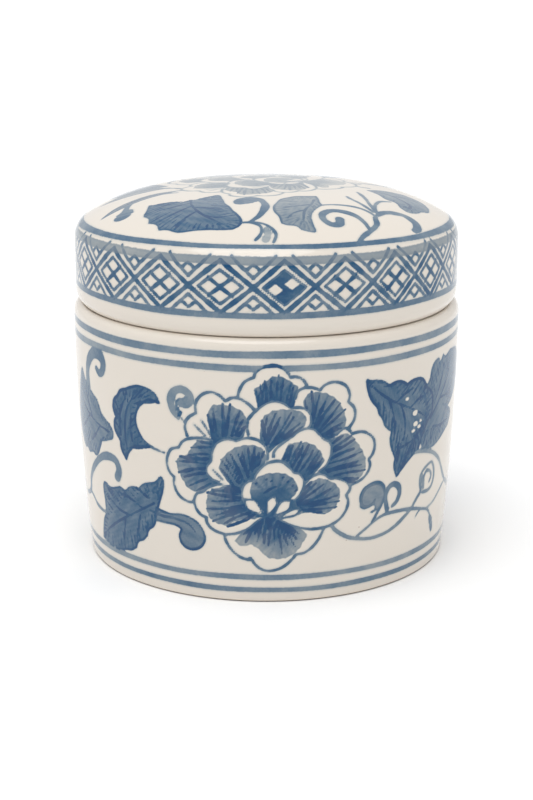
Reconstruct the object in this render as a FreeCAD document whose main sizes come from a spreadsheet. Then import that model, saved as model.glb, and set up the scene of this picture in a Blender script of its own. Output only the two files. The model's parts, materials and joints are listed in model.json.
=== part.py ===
import FreeCAD, Part
import math
import os
import re

import Sketcher

# Porcelain trinket box: a round vessel with a slightly bowed wall, and a domed lid that drops over
# its collar. Both are single castings. Millimetres, +Z up, with the origin at the centre of the foot
# where the box stands, and the painted front facing -Y.
#
#   box_body: foot ring, bowed wall, rounded shoulder, flat seat, and a collar that stands inside it
#   lid:      flat rim that rests on the seat, rolled lower edge, straight side, and a crown of 3 arcs

SHEET = "Sizes"
SIZES = {
    "body_diameter": 120.0,  # vessel across its widest ring
    "widest_height": 74.0,  # height of the widest ring
    "bow_radius": 755.0,  # radius of the wall's bow, seen from the side
    "seat_height": 80.4,  # height of the seat that carries the lid
    "shoulder_round": 3.0,  # rounding between the wall and the seat
    "wall_thickness": 4.0,
    "floor_thickness": 5.0,
    "floor_round": 8.0,  # rounding between the floor and the wall, inside
    "foot_recess": 2.2,  # depth of the hollow under the floor
    "foot_width": 4.4,  # foot ring, from its outer corner in to the hollow
    "foot_round": 1.0,  # rounding of the foot ring's two edges
    "collar_inset": 5.7,  # from the widest ring in to the collar's outside
    "collar_height": 9.0,  # collar above the seat
    "collar_thickness": 3.0,
    "collar_round": 1.2,  # rounding of the collar's two top edges
    "neck_round": 1.6,  # rounding under the seat, inside the vessel
    "lid_inset": 0.8,  # from the widest ring in to the lid's side
    "lid_clearance": 0.7,  # gap all round between the collar and the lid
    "lid_edge_radius": 5.0,  # roll of the lid's lower edge
    "lid_edge_rise": 3.9,  # height of that roll above the seat
    "lid_rim_round": 0.4,  # edge break on the lid's rim
    "lid_side_height": 19.6,  # from the seat up to where the lid's side starts to turn in
    "lid_shoulder_radius": 6.8,  # first arc of the crown
    "lid_shoulder_angle": 59.1,  # degrees that the first arc turns
    "lid_haunch_angle": 25.0,  # degrees that the second arc turns
    "lid_height": 34.9,  # from the seat up to the top of the lid
}

doc = FreeCAD.newDocument("TrinketBox")
sheet = doc.addObject("Spreadsheet::Sheet", SHEET)
for row, (name, value) in enumerate(SIZES.items(), start=1):
    sheet.set(f"A{row}", name)
    sheet.set(f"B{row}", str(value))
    sheet.setAlias(f"B{row}", name)
doc.recompute()


def size(name):
    """A driving size, read back from the sheet."""
    return float(getattr(sheet, name))


def on_sheet(text):
    """An expression in which each size's name, such as foot_width, points at its cell."""
    return re.sub("[a-z]+(_[a-z]+)+", lambda found: f"{SHEET}.{found.group()}", text)


# Radii and heights that several features share, each with the expression that binds it.
BODY_RADIUS = size("body_diameter") / 2
SEAT = size("seat_height")
COLLAR_OUTSIDE = BODY_RADIUS - size("collar_inset")
COLLAR_INSIDE = COLLAR_OUTSIDE - size("collar_thickness")
COLLAR_TOP = SEAT + size("collar_height")
NECK = SEAT - size("wall_thickness")
FLOOR = size("foot_recess") + size("floor_thickness")
LID_OUTSIDE = BODY_RADIUS - size("lid_inset")
LID_INSIDE = COLLAR_OUTSIDE + size("lid_clearance")
LID_THICKNESS = LID_OUTSIDE - LID_INSIDE
CROWN_START = SEAT + size("lid_side_height")
LID_TOP = SEAT + size("lid_height")

COLLAR_OUTSIDE_TEXT = "body_diameter / 2 - collar_inset"
COLLAR_INSIDE_TEXT = "body_diameter / 2 - collar_inset - collar_thickness"
COLLAR_TOP_TEXT = "seat_height + collar_height"
NECK_TEXT = "seat_height - wall_thickness"
FLOOR_TEXT = "foot_recess + floor_thickness"
LID_OUTSIDE_TEXT = "body_diameter / 2 - lid_inset"
LID_INSIDE_TEXT = "body_diameter / 2 - collar_inset + lid_clearance"
LID_THICKNESS_TEXT = "(collar_inset - lid_inset - lid_clearance)"
CROWN_START_TEXT = "seat_height + lid_side_height"
LID_TOP_TEXT = "seat_height + lid_height"


def bow(height, inset=0.0):
    """Radius of the bowed wall at a height, or of the surface that lies inset inside it."""
    radius = size("bow_radius") - inset
    drop = height - size("widest_height")
    return BODY_RADIUS - size("bow_radius") + math.sqrt(radius * radius - drop * drop)


class Profile:
    """A sketch in a body's XZ plane: x is the distance from the box's axis, y is the height.

    Edges are drawn at their true size. Each dimension takes its value from what is drawn, and is
    then bound to its expression on the sheet.
    """

    START, END, CENTRE = 1, 2, 3
    ORIGIN = (-1, 1)
    V_AXIS = -2

    def __init__(self, body, name):
        plane = next(f for f in body.Origin.OriginFeatures if f.Role == "XZ_Plane")
        self.sketch = body.newObject("Sketcher::SketchObject", name)
        self.sketch.AttachmentSupport = [(plane, "")]
        self.sketch.MapMode = "FlatFace"

    def line(self, start, end):
        segment = Part.LineSegment(FreeCAD.Vector(*start, 0), FreeCAD.Vector(*end, 0))
        return self.sketch.addGeometry(segment, False)

    def arc(self, centre, radius, low, high):
        """An arc from the angle low to the angle high, in radians, anticlockwise."""
        circle = Part.Circle(FreeCAD.Vector(*centre, 0), FreeCAD.Vector(0, 0, 1), radius)
        return self.sketch.addGeometry(Part.ArcOfCircle(circle, low, high), False)

    def rule(self, *words):
        return self.sketch.addConstraint(Sketcher.Constraint(*words))

    def chain(self, *ends):
        """Closes a loop: each edge's end, then the next edge's start, as (edge, point) pairs."""
        for first, second in zip(ends[::2], ends[1::2]):
            self.rule("Coincident", *first, *second)

    def on_axis(self, edge, point):
        self.rule("PointOnObject", edge, point, self.V_AXIS)

    def bind(self, made, name, text, unit="mm"):
        self.sketch.renameConstraint(made, name)
        self.sketch.setExpression(f"Constraints.{name}", f"({on_sheet(text)}) * 1 {unit}")

    def across(self, edge, point, text, name):
        """Distance of a point from the box's axis."""
        drawn = self.sketch.getPoint(edge, point).x
        self.bind(self.rule("DistanceX", *self.ORIGIN, edge, point, drawn), name, text)

    def up(self, edge, point, text, name):
        """Height of a point."""
        drawn = self.sketch.getPoint(edge, point).y
        self.bind(self.rule("DistanceY", *self.ORIGIN, edge, point, drawn), name, text)

    def radius(self, edge, text, name):
        drawn = self.sketch.Geometry[edge].Radius
        self.bind(self.rule("Radius", edge, drawn), name, text)

    def sweep(self, edge, text, name):
        """The angle that an arc turns."""
        drawn = self.sketch.Geometry[edge].LastParameter - self.sketch.Geometry[edge].FirstParameter
        self.bind(self.rule("Angle", edge, drawn), name, text, "deg")

    def bowed(self, low, high, inset, inset_text, name):
        """The wall's bow between two heights, or the surface that lies inset inside it."""
        centre = (BODY_RADIUS - size("bow_radius"), size("widest_height"))
        radius = size("bow_radius") - inset
        angles = [math.asin((height - centre[1]) / radius) for height in (low, high)]
        edge = self.arc(centre, radius, *angles)
        self.radius(edge, f"bow_radius - {inset_text}", f"{name}_radius")
        self.up(edge, self.CENTRE, "widest_height", f"{name}_widest")
        self.across(edge, self.CENTRE, "body_diameter / 2 - bow_radius", f"{name}_middle")
        return edge

    def crown(self, side, start, small, top, texts, name):
        """Three tangent arcs from the end of a vertical side in to the axis.

        The first starts at the point start with the radius small, and turns by the shoulder's
        angle. The second turns by the haunch's. The last closes square to the axis at the height
        top, which settles the radii of the last two. texts bind the small radius and the top.
        """
        turn = math.radians(size("lid_shoulder_angle"))
        turned = turn + math.radians(size("lid_haunch_angle"))
        centre = (start[0] - small, start[1])
        x = centre[0] + small * math.cos(turn)
        y = centre[1] + small * math.sin(turn)
        lean = (1 - math.sin(turned)) / math.cos(turned)
        inward, upward = math.cos(turned) - math.cos(turn), math.sin(turned) - math.sin(turn)
        large = (top - y - x * lean) / (upward + inward * lean)
        middle = (x - large * math.cos(turn), y - large * math.sin(turn))
        largest = (x + large * inward) / math.cos(turned)
        shoulder = self.arc(centre, small, 0, turn)
        haunch = self.arc(middle, large, turn, turned)
        cap = self.arc((0, top - largest), largest, turned, math.pi / 2)
        self.rule("Tangent", side, self.END, shoulder, self.START)
        self.rule("Tangent", shoulder, self.END, haunch, self.START)
        self.rule("Tangent", haunch, self.END, cap, self.START)
        self.up(shoulder, self.CENTRE, CROWN_START_TEXT, f"{name}_start")
        self.radius(shoulder, texts[0], f"{name}_shoulder")
        self.sweep(shoulder, "lid_shoulder_angle", f"{name}_shoulder_turn")
        self.sweep(haunch, "lid_haunch_angle", f"{name}_haunch_turn")
        self.on_axis(cap, self.CENTRE)
        self.on_axis(cap, self.END)
        self.up(cap, self.END, texts[1], f"{name}_top")
        return cap


def revolve(body, profile, kind, name):
    """Turns a profile about the box's axis: Revolution adds the solid, Groove cuts it away."""
    feature = body.newObject(f"PartDesign::{kind}", name)
    feature.Profile = profile.sketch
    feature.ReferenceAxis = (profile.sketch, ["V_Axis"])
    feature.Angle = 360
    doc.recompute()
    return feature


def check_cut(before, after):
    """A cut that points away from the solid removes nothing and gives no error."""
    if after.Shape.Volume > before.Shape.Volume - 1.0:
        raise ValueError(f"{after.Label} cut nothing")


def ring_edges(feature, rings):
    """Names of a feature's circular edges at each (radius, height)."""
    close = 0.01
    found = []
    for index, edge in enumerate(feature.Shape.Edges, start=1):
        if edge.Degenerated or not isinstance(edge.Curve, Part.Circle):
            continue
        circle = edge.Curve
        for radius, height in rings:
            if abs(circle.Radius - radius) < close and abs(circle.Center.z - height) < close:
                found.append(f"Edge{index}")
    if len(found) < len(rings):
        raise ValueError(f"{feature.Label}: {len(found)} edges found for {len(rings)} rings")
    return found


def round_rings(body, base, rings, text, name):
    """Rounds the circular edges at these rings, with the radius bound to the sheet."""
    fillet = body.newObject("PartDesign::Fillet", name)
    fillet.Base = (base, ring_edges(base, rings))
    fillet.Radius = size(text)
    fillet.setExpression("Radius", on_sheet(text))
    doc.recompute()
    return fillet


# ---- vessel ------------------------------------------------------------------------------------


def vessel_outline(body):
    """Half of the vessel's outside: foot, wall, seat, collar, and back down its axis."""
    p = Profile(body, "vessel_outline")
    foot = p.line((0, 0), (bow(0), 0))
    wall = p.bowed(0, SEAT, 0, "0", "wall")
    seat = p.line((bow(SEAT), SEAT), (COLLAR_OUTSIDE, SEAT))
    collar = p.line((COLLAR_OUTSIDE, SEAT), (COLLAR_OUTSIDE, COLLAR_TOP))
    lip = p.line((COLLAR_OUTSIDE, COLLAR_TOP), (0, COLLAR_TOP))
    axis = p.line((0, COLLAR_TOP), (0, 0))
    p.chain((foot, p.END), (wall, p.START), (wall, p.END), (seat, p.START))
    p.chain((seat, p.END), (collar, p.START), (collar, p.END), (lip, p.START))
    p.chain((lip, p.END), (axis, p.START), (axis, p.END), (foot, p.START))
    p.rule("Coincident", foot, p.START, *p.ORIGIN)
    for level in (foot, seat, lip):
        p.rule("Horizontal", level)
    for upright in (collar, axis):
        p.rule("Vertical", upright)
    p.up(seat, p.END, "seat_height", "seat")
    p.across(collar, p.END, COLLAR_OUTSIDE_TEXT, "collar_outside")
    p.up(collar, p.END, COLLAR_TOP_TEXT, "collar_top")
    return p


def vessel_hollow(body):
    """Half of the space inside: floor, bowed wall, neck under the seat, and up past the collar."""
    p = Profile(body, "vessel_hollow")
    wall_in = size("wall_thickness")
    floor = p.line((0, FLOOR), (bow(FLOOR, wall_in), FLOOR))
    wall = p.bowed(FLOOR, NECK, wall_in, "wall_thickness", "inner_wall")
    neck = p.line((bow(NECK, wall_in), NECK), (COLLAR_INSIDE, NECK))
    collar = p.line((COLLAR_INSIDE, NECK), (COLLAR_INSIDE, COLLAR_TOP))
    mouth = p.line((COLLAR_INSIDE, COLLAR_TOP), (0, COLLAR_TOP))
    axis = p.line((0, COLLAR_TOP), (0, FLOOR))
    p.chain((floor, p.END), (wall, p.START), (wall, p.END), (neck, p.START))
    p.chain((neck, p.END), (collar, p.START), (collar, p.END), (mouth, p.START))
    p.chain((mouth, p.END), (axis, p.START), (axis, p.END), (floor, p.START))
    for level in (floor, neck, mouth):
        p.rule("Horizontal", level)
    p.rule("Vertical", collar)
    p.on_axis(axis, p.START)
    p.on_axis(axis, p.END)
    p.up(floor, p.START, FLOOR_TEXT, "floor")
    p.up(neck, p.END, NECK_TEXT, "neck")
    p.across(collar, p.END, COLLAR_INSIDE_TEXT, "collar_inside")
    p.up(collar, p.END, COLLAR_TOP_TEXT, "mouth")
    return p


def foot_hollow(body):
    """Half of the shallow hollow inside the foot ring."""
    p = Profile(body, "foot_hollow")
    recess = size("foot_recess")
    edge = bow(0) - size("foot_width")
    table = p.line((0, 0), (edge, 0))
    side = p.line((edge, 0), (edge, recess))
    roof = p.line((edge, recess), (0, recess))
    axis = p.line((0, recess), (0, 0))
    p.chain((table, p.END), (side, p.START), (side, p.END), (roof, p.START))
    p.chain((roof, p.END), (axis, p.START), (axis, p.END), (table, p.START))
    p.rule("Coincident", table, p.START, *p.ORIGIN)
    for level in (table, roof):
        p.rule("Horizontal", level)
    for upright in (side, axis):
        p.rule("Vertical", upright)
    wall_at_table = "body_diameter / 2 - bow_radius + sqrt(bow_radius ^ 2 - widest_height ^ 2)"
    p.across(side, p.START, f"{wall_at_table} - foot_width", "hollow_radius")
    p.up(side, p.END, "foot_recess", "recess")
    return p


def make_vessel():
    body = doc.addObject("PartDesign::Body", "box_body")
    body.Label = "box_body"
    solid = revolve(body, vessel_outline(body), "Revolution", "vessel_solid")
    hollowed = revolve(body, vessel_hollow(body), "Groove", "vessel_inside")
    check_cut(solid, hollowed)
    footed = revolve(body, foot_hollow(body), "Groove", "foot_inside")
    check_cut(hollowed, footed)

    wall_in = size("wall_thickness")
    foot = [(bow(0), 0), (bow(0) - size("foot_width"), 0)]
    neck = [(bow(NECK, wall_in), NECK), (COLLAR_INSIDE, NECK)]
    lip = [(COLLAR_OUTSIDE, COLLAR_TOP), (COLLAR_INSIDE, COLLAR_TOP)]
    made = round_rings(body, footed, [(bow(SEAT), SEAT)], "shoulder_round", "shoulder")
    made = round_rings(body, made, [(bow(FLOOR, wall_in), FLOOR)], "floor_round", "inner_corner")
    made = round_rings(body, made, neck, "neck_round", "neck")
    made = round_rings(body, made, lip, "collar_round", "collar_lip")
    body.Tip = round_rings(body, made, foot, "foot_round", "foot_edges")
    return body


# ---- lid ---------------------------------------------------------------------------------------


def lid_outline(body):
    """Half of the lid's outside: rim, rolled edge, side, crown, and back down its axis."""
    p = Profile(body, "lid_outline")
    roll, rise = size("lid_edge_radius"), size("lid_edge_rise")
    edge_low = -math.asin(rise / roll)
    rim_end = LID_OUTSIDE - roll + roll * math.cos(edge_low)
    rim = p.line((0, SEAT), (rim_end, SEAT))
    edge = p.arc((LID_OUTSIDE - roll, SEAT + rise), roll, edge_low, 0)
    side = p.line((LID_OUTSIDE, SEAT + rise), (LID_OUTSIDE, CROWN_START))
    start = (LID_OUTSIDE, CROWN_START)
    texts = ("lid_shoulder_radius", LID_TOP_TEXT)
    p.rule("Coincident", rim, p.END, edge, p.START)
    p.rule("Tangent", edge, p.END, side, p.START)
    p.rule("Vertical", side)
    cap = p.crown(side, start, size("lid_shoulder_radius"), LID_TOP, texts, "outside")
    axis = p.line((0, LID_TOP), (0, SEAT))
    p.chain((cap, p.END), (axis, p.START), (axis, p.END), (rim, p.START))
    p.on_axis(axis, p.END)
    p.rule("Horizontal", rim)
    p.up(rim, p.START, "seat_height", "rim")
    p.across(side, p.START, LID_OUTSIDE_TEXT, "lid_side")
    p.radius(edge, "lid_edge_radius", "edge_roll")
    p.up(edge, p.CENTRE, "seat_height + lid_edge_rise", "edge_top")
    return p


def lid_hollow(body):
    """Half of the space inside the lid, one lid thickness inside its outline."""
    p = Profile(body, "lid_hollow")
    top = LID_TOP - LID_THICKNESS
    mouth = p.line((0, SEAT), (LID_INSIDE, SEAT))
    side = p.line((LID_INSIDE, SEAT), (LID_INSIDE, CROWN_START))
    start = (LID_INSIDE, CROWN_START)
    small = size("lid_shoulder_radius") - LID_THICKNESS
    texts = (f"lid_shoulder_radius - {LID_THICKNESS_TEXT}", f"{LID_TOP_TEXT} - {LID_THICKNESS_TEXT}")
    p.rule("Coincident", mouth, p.END, side, p.START)
    p.rule("Vertical", side)
    cap = p.crown(side, start, small, top, texts, "inside")
    axis = p.line((0, top), (0, SEAT))
    p.chain((cap, p.END), (axis, p.START), (axis, p.END), (mouth, p.START))
    p.on_axis(axis, p.END)
    p.rule("Horizontal", mouth)
    p.up(mouth, p.START, "seat_height", "mouth")
    p.across(side, p.START, LID_INSIDE_TEXT, "lid_bore")
    return p


def make_lid():
    body = doc.addObject("PartDesign::Body", "lid")
    body.Label = "lid"
    solid = revolve(body, lid_outline(body), "Revolution", "lid_solid")
    hollowed = revolve(body, lid_hollow(body), "Groove", "lid_inside")
    check_cut(solid, hollowed)
    roll, rise = size("lid_edge_radius"), size("lid_edge_rise")
    rim_end = LID_OUTSIDE - roll + math.sqrt(roll * roll - rise * rise)
    rim = [(rim_end, SEAT), (LID_INSIDE, SEAT)]
    body.Tip = round_rings(body, hollowed, rim, "lid_rim_round", "rim_edges")
    return body


# ---- checks and files --------------------------------------------------------------------------


def check_and_write(bodies):
    doc.recompute()
    for item in doc.Objects:
        if {"Invalid", "Error"} & set(item.State):
            raise ValueError(f"{item.Label} failed: {item.State}")
    for body in bodies:
        shape = body.Shape
        if shape.isNull() or not shape.isValid() or len(shape.Solids) != 1:
            raise ValueError(f"{body.Label} isn't one valid solid")
    os.makedirs("parts", exist_ok=True)
    for body in bodies:
        body.Shape.exportStep(f"parts/{body.Label}.step")
        box = body.Shape.optimalBoundingBox()
        across, low, high = box.XLength, box.ZMin, box.ZMax
        volume = body.Shape.Volume / 1000
        print(f"{body.Label}: {across:.2f} across, {low:.2f} to {high:.2f} high, {volume:.1f} cm3")


check_and_write([make_vessel(), make_lid()])
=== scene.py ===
# %% [markdown]
# # A lidded porcelain trinket box, painted in cobalt blue
# The box is two pieces of thrown porcelain, a round body and a lid that drops over its collar.
# Both are turned shapes, so each is one outline swept round an axis, and the interest is in the
# painting: a big peony, scrolling leaves, ruled bands and a lattice, in blue under a clear glaze.
# This lesson turns the two shapes with Geometry Nodes, then paints them the way a decorator does.

# %% Load the frame and measure it
import json
import math
import random

import bpy
import numpy as np
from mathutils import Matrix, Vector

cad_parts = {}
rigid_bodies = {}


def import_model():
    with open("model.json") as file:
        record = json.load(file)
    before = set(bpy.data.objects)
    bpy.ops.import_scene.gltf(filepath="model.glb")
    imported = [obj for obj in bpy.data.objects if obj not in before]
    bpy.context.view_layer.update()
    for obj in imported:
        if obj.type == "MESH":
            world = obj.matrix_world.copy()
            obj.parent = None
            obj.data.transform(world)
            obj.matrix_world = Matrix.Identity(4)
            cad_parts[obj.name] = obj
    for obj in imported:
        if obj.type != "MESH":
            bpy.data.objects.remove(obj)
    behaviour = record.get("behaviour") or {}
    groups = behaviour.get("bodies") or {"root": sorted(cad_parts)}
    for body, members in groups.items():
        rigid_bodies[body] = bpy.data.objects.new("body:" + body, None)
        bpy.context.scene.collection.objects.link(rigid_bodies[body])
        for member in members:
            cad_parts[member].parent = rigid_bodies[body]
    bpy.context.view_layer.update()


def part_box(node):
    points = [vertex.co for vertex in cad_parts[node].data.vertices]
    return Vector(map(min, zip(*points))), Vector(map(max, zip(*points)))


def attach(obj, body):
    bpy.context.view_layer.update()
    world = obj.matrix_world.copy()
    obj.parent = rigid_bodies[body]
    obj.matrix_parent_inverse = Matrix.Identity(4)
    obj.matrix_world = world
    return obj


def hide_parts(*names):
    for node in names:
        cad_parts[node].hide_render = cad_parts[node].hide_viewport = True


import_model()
MM = 0.001
body_low, body_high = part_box("box_body")
lid_low, lid_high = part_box("lid")
print("body", [round(v / MM, 2) for v in (*body_low, *body_high)])
print("lid ", [round(v / MM, 2) for v in (*lid_low, *lid_high)])

# %% [markdown]
# ## The camera
# The box is seen from a little above, from a little over half a metre away, with a long lens, so
# its upright sides stay almost parallel. The camera comes first because every later choice is
# judged by it.

# %% Camera
scene = bpy.context.scene
camera = bpy.data.objects.new("camera", bpy.data.cameras.new("camera"))
camera.location = (0.0, -0.5237, 0.1938)
camera.rotation_euler = (math.radians(74.236), 0.0, 0.0)
camera.data.lens = 76.75
camera.data.sensor_width = 36.0
scene.collection.objects.link(camera)
scene.camera = camera
print("camera", round(camera.location.length, 3), "m from the foot, lens", camera.data.lens, "mm")

# %% [markdown]
# ## The outline of a turned piece
# A potter checks a turned piece with a template of its outline. The template here is a list of
# corners, each with a rounding, from the axis round the clay and back to the axis. A spline could
# draw it, but the roundings of a pot are true arcs, and an arc also says exactly which way the
# clay faces. That direction makes clean reflections later, so it is kept with every point.

# %% A corner list becomes an outline with facing directions
ROUND_STEP = 24.0     # degrees of turn between two points of a rounded corner


def unit(v):
    return v / np.linalg.norm(v)


def facing(direction):
    """The outside of the clay is on the right-hand side of the template's run."""
    return np.array([direction[1], -direction[0]])


def turned(v, angle):
    c, s = math.cos(angle), math.sin(angle)
    return np.array([c * v[0] - s * v[1], s * v[0] + c * v[1]])


def template(corners):
    """Corners (radius from axis, height, rounding) in mm -> points and facing directions."""
    spots = [np.array(c[:2], float) for c in corners]
    points, faces = [spots[0]], [facing(unit(spots[1] - spots[0]))]
    for i in range(1, len(spots) - 1):
        before, after = unit(spots[i] - spots[i - 1]), unit(spots[i + 1] - spots[i])
        cross = before[0] * after[1] - before[1] * after[0]
        turn = math.atan2(cross, float(before @ after))
        rounding = corners[i][2]
        if rounding == 0:
            points.append(spots[i])
            faces.append(unit(facing(before) + facing(after)))
            continue
        start = spots[i] - before * rounding * math.tan(abs(turn) / 2)
        inward = -facing(before) * math.copysign(1.0, turn)
        centre = start + inward * rounding
        steps = max(2, round(abs(math.degrees(turn)) / ROUND_STEP))
        for k in range(steps + 1):
            points.append(centre + turned(start - centre, turn * k / steps))
            faces.append(turned(facing(before), turn * k / steps))
    points.append(spots[-1])
    faces.append(facing(unit(spots[-1] - spots[-2])))
    return np.array(points), np.array(faces)


# %% [markdown]
# ## The body's outline
# The wall is not straight: it swells very slightly up to its widest place, not far below the lid,
# on an arc of three quarters of a metre's radius. It stands on a low foot ring, and the lid rests
# on a flat seat round a short collar.

# %% Body outline
BOW_RADIUS = 755.0
WIDEST = 74.0                          # height of the widest place
GIRTH = body_high.x / MM               # radius there
SEAT = lid_low.z / MM
COLLAR_TOP = body_high.z / MM
COLLAR_OUT, COLLAR_IN = 54.3, 51.3     # radii of the collar
WALL = 4.0
NECK = 76.4                            # height of the underside of the seat, inside
FOOT_IN, FOOT_DEPTH = 51.965, 2.2      # the hollow under the floor
FLOOR = 7.2                            # height of the floor, inside


def bow(z, inset=0.0):
    """Radius of the wall at height z; inset goes into the clay."""
    return GIRTH - BOW_RADIUS + math.sqrt((BOW_RADIUS - inset) ** 2 - (z - WIDEST) ** 2)


body_corners = [(0, FOOT_DEPTH, 0), (FOOT_IN, FOOT_DEPTH, 0.6), (FOOT_IN, 0, 1.0), (bow(0), 0, 1.0)]
body_corners += [(bow(z), z, 0) for z in range(4, 77, 4)]
body_corners += [(bow(SEAT), SEAT, 3.0), (COLLAR_OUT, SEAT, 0.4), (COLLAR_OUT, COLLAR_TOP, 1.2),
                 (COLLAR_IN, COLLAR_TOP, 1.2), (COLLAR_IN, NECK, 1.6), (bow(NECK, WALL), NECK, 1.6)]
body_corners += [(bow(z, WALL), z, 0) for z in range(68, 16, -12)]
body_corners += [(bow(FLOOR, WALL), FLOOR, 8.0), (0, FLOOR, 0)]
body_outline, body_facing = template(body_corners)
print("body outline:", len(body_outline), "points")

# %% [markdown]
# ## The lid's outline
# The lid is a low dome: an almost flat crown, a rounder haunch, a tight shoulder, then an upright
# side whose lower edge curls under. Each stretch is an arc that runs smoothly into the next. Its
# template starts inside, at the top of the hollow, and comes back over the outside.

# %% Lid outline
CROWN = lid_high.z / MM
LID_ARCS = [    # centre, radius, first and last angle, steps
    ((0, -200.565), 315.865, 90.0, 84.1, 8), ((26.607, 56.903), 57.026, 84.1, 59.1, 12),
    ((52.4, 100.0), 6.8, 59.1, 0.0, 10)]
LID_ROLL = ((54.2, 84.3), 5.0, -46.0, 0.0, 5)      # the edge that curls under
LID_BORE, RIM_END = 55.0, 57.329                   # radii of the flat rim
LID_WALL = 4.2


def along_arc(centre, radius, start, end, steps):
    turn = np.radians(np.linspace(start, end, steps + 1))
    return [(centre[0] + radius * math.cos(a), centre[1] + radius * math.sin(a), 0) for a in turn]


lid_corners = [(0, CROWN - LID_WALL, 0)]
for centre, radius, start, end, steps in LID_ARCS:
    lid_corners += along_arc(centre, radius - LID_WALL, start, end, max(4, steps // 2))[1:]
lid_corners += [(LID_BORE, SEAT, 0.4), (RIM_END, SEAT, 0.4), *along_arc(*LID_ROLL)]
for centre, radius, start, end, steps in LID_ARCS[::-1]:
    lid_corners += along_arc(centre, radius, end, start, steps)[0 if radius < 7 else 1:]
lid_corners[-1] = (0, CROWN, 0)
lid_outline, lid_facing = template(lid_corners)
print("lid outline:", len(lid_outline), "points")

# %% [markdown]
# ## A sheet to wrap round the outline
# The painted surfaces need a fine, even net, because the paint is stored on its points. The plain
# ones do not. So the net is laid out flat first, x as the angle round the pot and y as the
# distance along the template, ring by ring, each ring with as many points as it needs. Where
# the number changes, small fans of triangles join the rings, and a pole is a ring of one point.

# %% Rings of points, joined into a flat net
def distances(path):
    """How far along a path each of its points is, in mm."""
    return np.concatenate([[0], np.cumsum(np.linalg.norm(np.diff(path, axis=0), axis=1))])


def ring_plan(outline, fine_from, fine_to, spacing, counts, coarse):
    """(distance along, points round) for each ring. The fine part lies between two distances."""
    run = distances(outline)
    fine = np.linspace(fine_from, fine_to, round((fine_to - fine_from) / spacing) + 1)
    plan = []
    for t in sorted([*run[(run < fine_from - 0.1) | (run > fine_to + 0.1)], *fine]):
        radius = np.interp(t, run, outline[:, 0])
        count = coarse
        if fine_from <= t <= fine_to:
            count = next((c for c in counts if 2 * math.pi * radius / c <= spacing * 1.2), counts[-1])
        plan.append((float(t), 1 if radius < 1e-6 else count))
    return plan


def join(a, b, first_a, first_b):
    """Faces between two neighbouring rings of a and b points."""

    def at_a(j):
        return first_a + j % a

    def at_b(j):
        return first_b + j % b

    if a == b:
        return [(at_a(j), at_a(j + 1), at_b(j + 1), at_b(j)) for j in range(a)]
    if a == 1:
        return [(first_a, at_b(j + 1), at_b(j)) for j in range(b)]
    if b == 1:
        return [(at_a(j), at_a(j + 1), first_b) for j in range(a)]
    faces = []
    many = max(a, b) // min(a, b)
    for j in range(min(a, b)):
        middle = many * j + many // 2
        for m in range(many * j, many * (j + 1)):
            if m == middle:
                faces.append((at_a(j), at_a(j + 1), at_b(m)) if b > a
                             else (at_b(j), at_a(m), at_b(j + 1)))
            k = j if m < middle else j + 1
            faces.append((at_a(k), at_b(m + 1), at_b(m)) if b > a else (at_b(k), at_a(m), at_a(m + 1)))
    return faces


def flat_net(name, plan):
    """The flat net as a mesh, with each point's angle and distance along."""
    angle = np.concatenate([2 * np.pi * np.arange(n) / n for _, n in plan])
    along = np.concatenate([np.full(n, t) for t, n in plan])
    firsts = np.concatenate([[0], np.cumsum([n for _, n in plan])])
    faces = []
    for i in range(len(plan) - 1):
        faces += join(plan[i][1], plan[i + 1][1], int(firsts[i]), int(firsts[i + 1]))
    mesh = bpy.data.meshes.new(name)
    spots = np.stack([angle, along * MM, np.zeros_like(angle)], 1)
    mesh.from_pydata(spots.tolist(), [], faces)
    triangles = sum(len(f) - 2 for f in faces)
    print(name + ":", len(angle), "points,", triangles, "triangles")
    return mesh, angle, along


# %% The two nets
BODY_SPACING, LID_SPACING = 0.57, 0.5      # mm between painted points
BODY_ROUND, LID_ROUND = (648,), (21, 42, 84, 168, 336, 672)
BODY_PLAIN, LID_PLAIN = 162, 168           # points round the unpainted parts
BODY_PAINTED = (1.3, 77.2)                 # heights between which the wall's net is fine
LID_PAINTED = 84.6                         # the lid's net is fine from this height to its top
BODY_OUTSIDE, LID_OUTSIDE = 56.2, 58.0     # nothing inside either piece is as wide as this


def distance_at(outline, height, wider_than):
    """Distance along the template to a height on the outside of the piece."""
    outside = outline[:, 0] > wider_than
    return float(np.interp(height, outline[outside, 1], distances(outline)[outside]))


body_from, body_to = (distance_at(body_outline, z, BODY_OUTSIDE) for z in BODY_PAINTED)
lid_from, lid_to = distance_at(lid_outline, LID_PAINTED, LID_OUTSIDE), distances(lid_outline)[-1]
body_plan = ring_plan(body_outline, body_from, body_to, BODY_SPACING, BODY_ROUND, BODY_PLAIN)
lid_plan = ring_plan(lid_outline, lid_from, lid_to, LID_SPACING, LID_ROUND, LID_PLAIN)
body_net, body_angle, body_along = flat_net("body net", body_plan)
lid_net, lid_angle, lid_along = flat_net("lid net", lid_plan)

# %% [markdown]
# ## Turning the pieces
# The wheel itself is a Geometry Nodes tree. It takes the flat net and, for every point, looks up
# the template at that distance along, then swings the result round the axis by the point's angle.
# The Screw modifier could sweep an outline too, but only with the same count everywhere.

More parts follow.
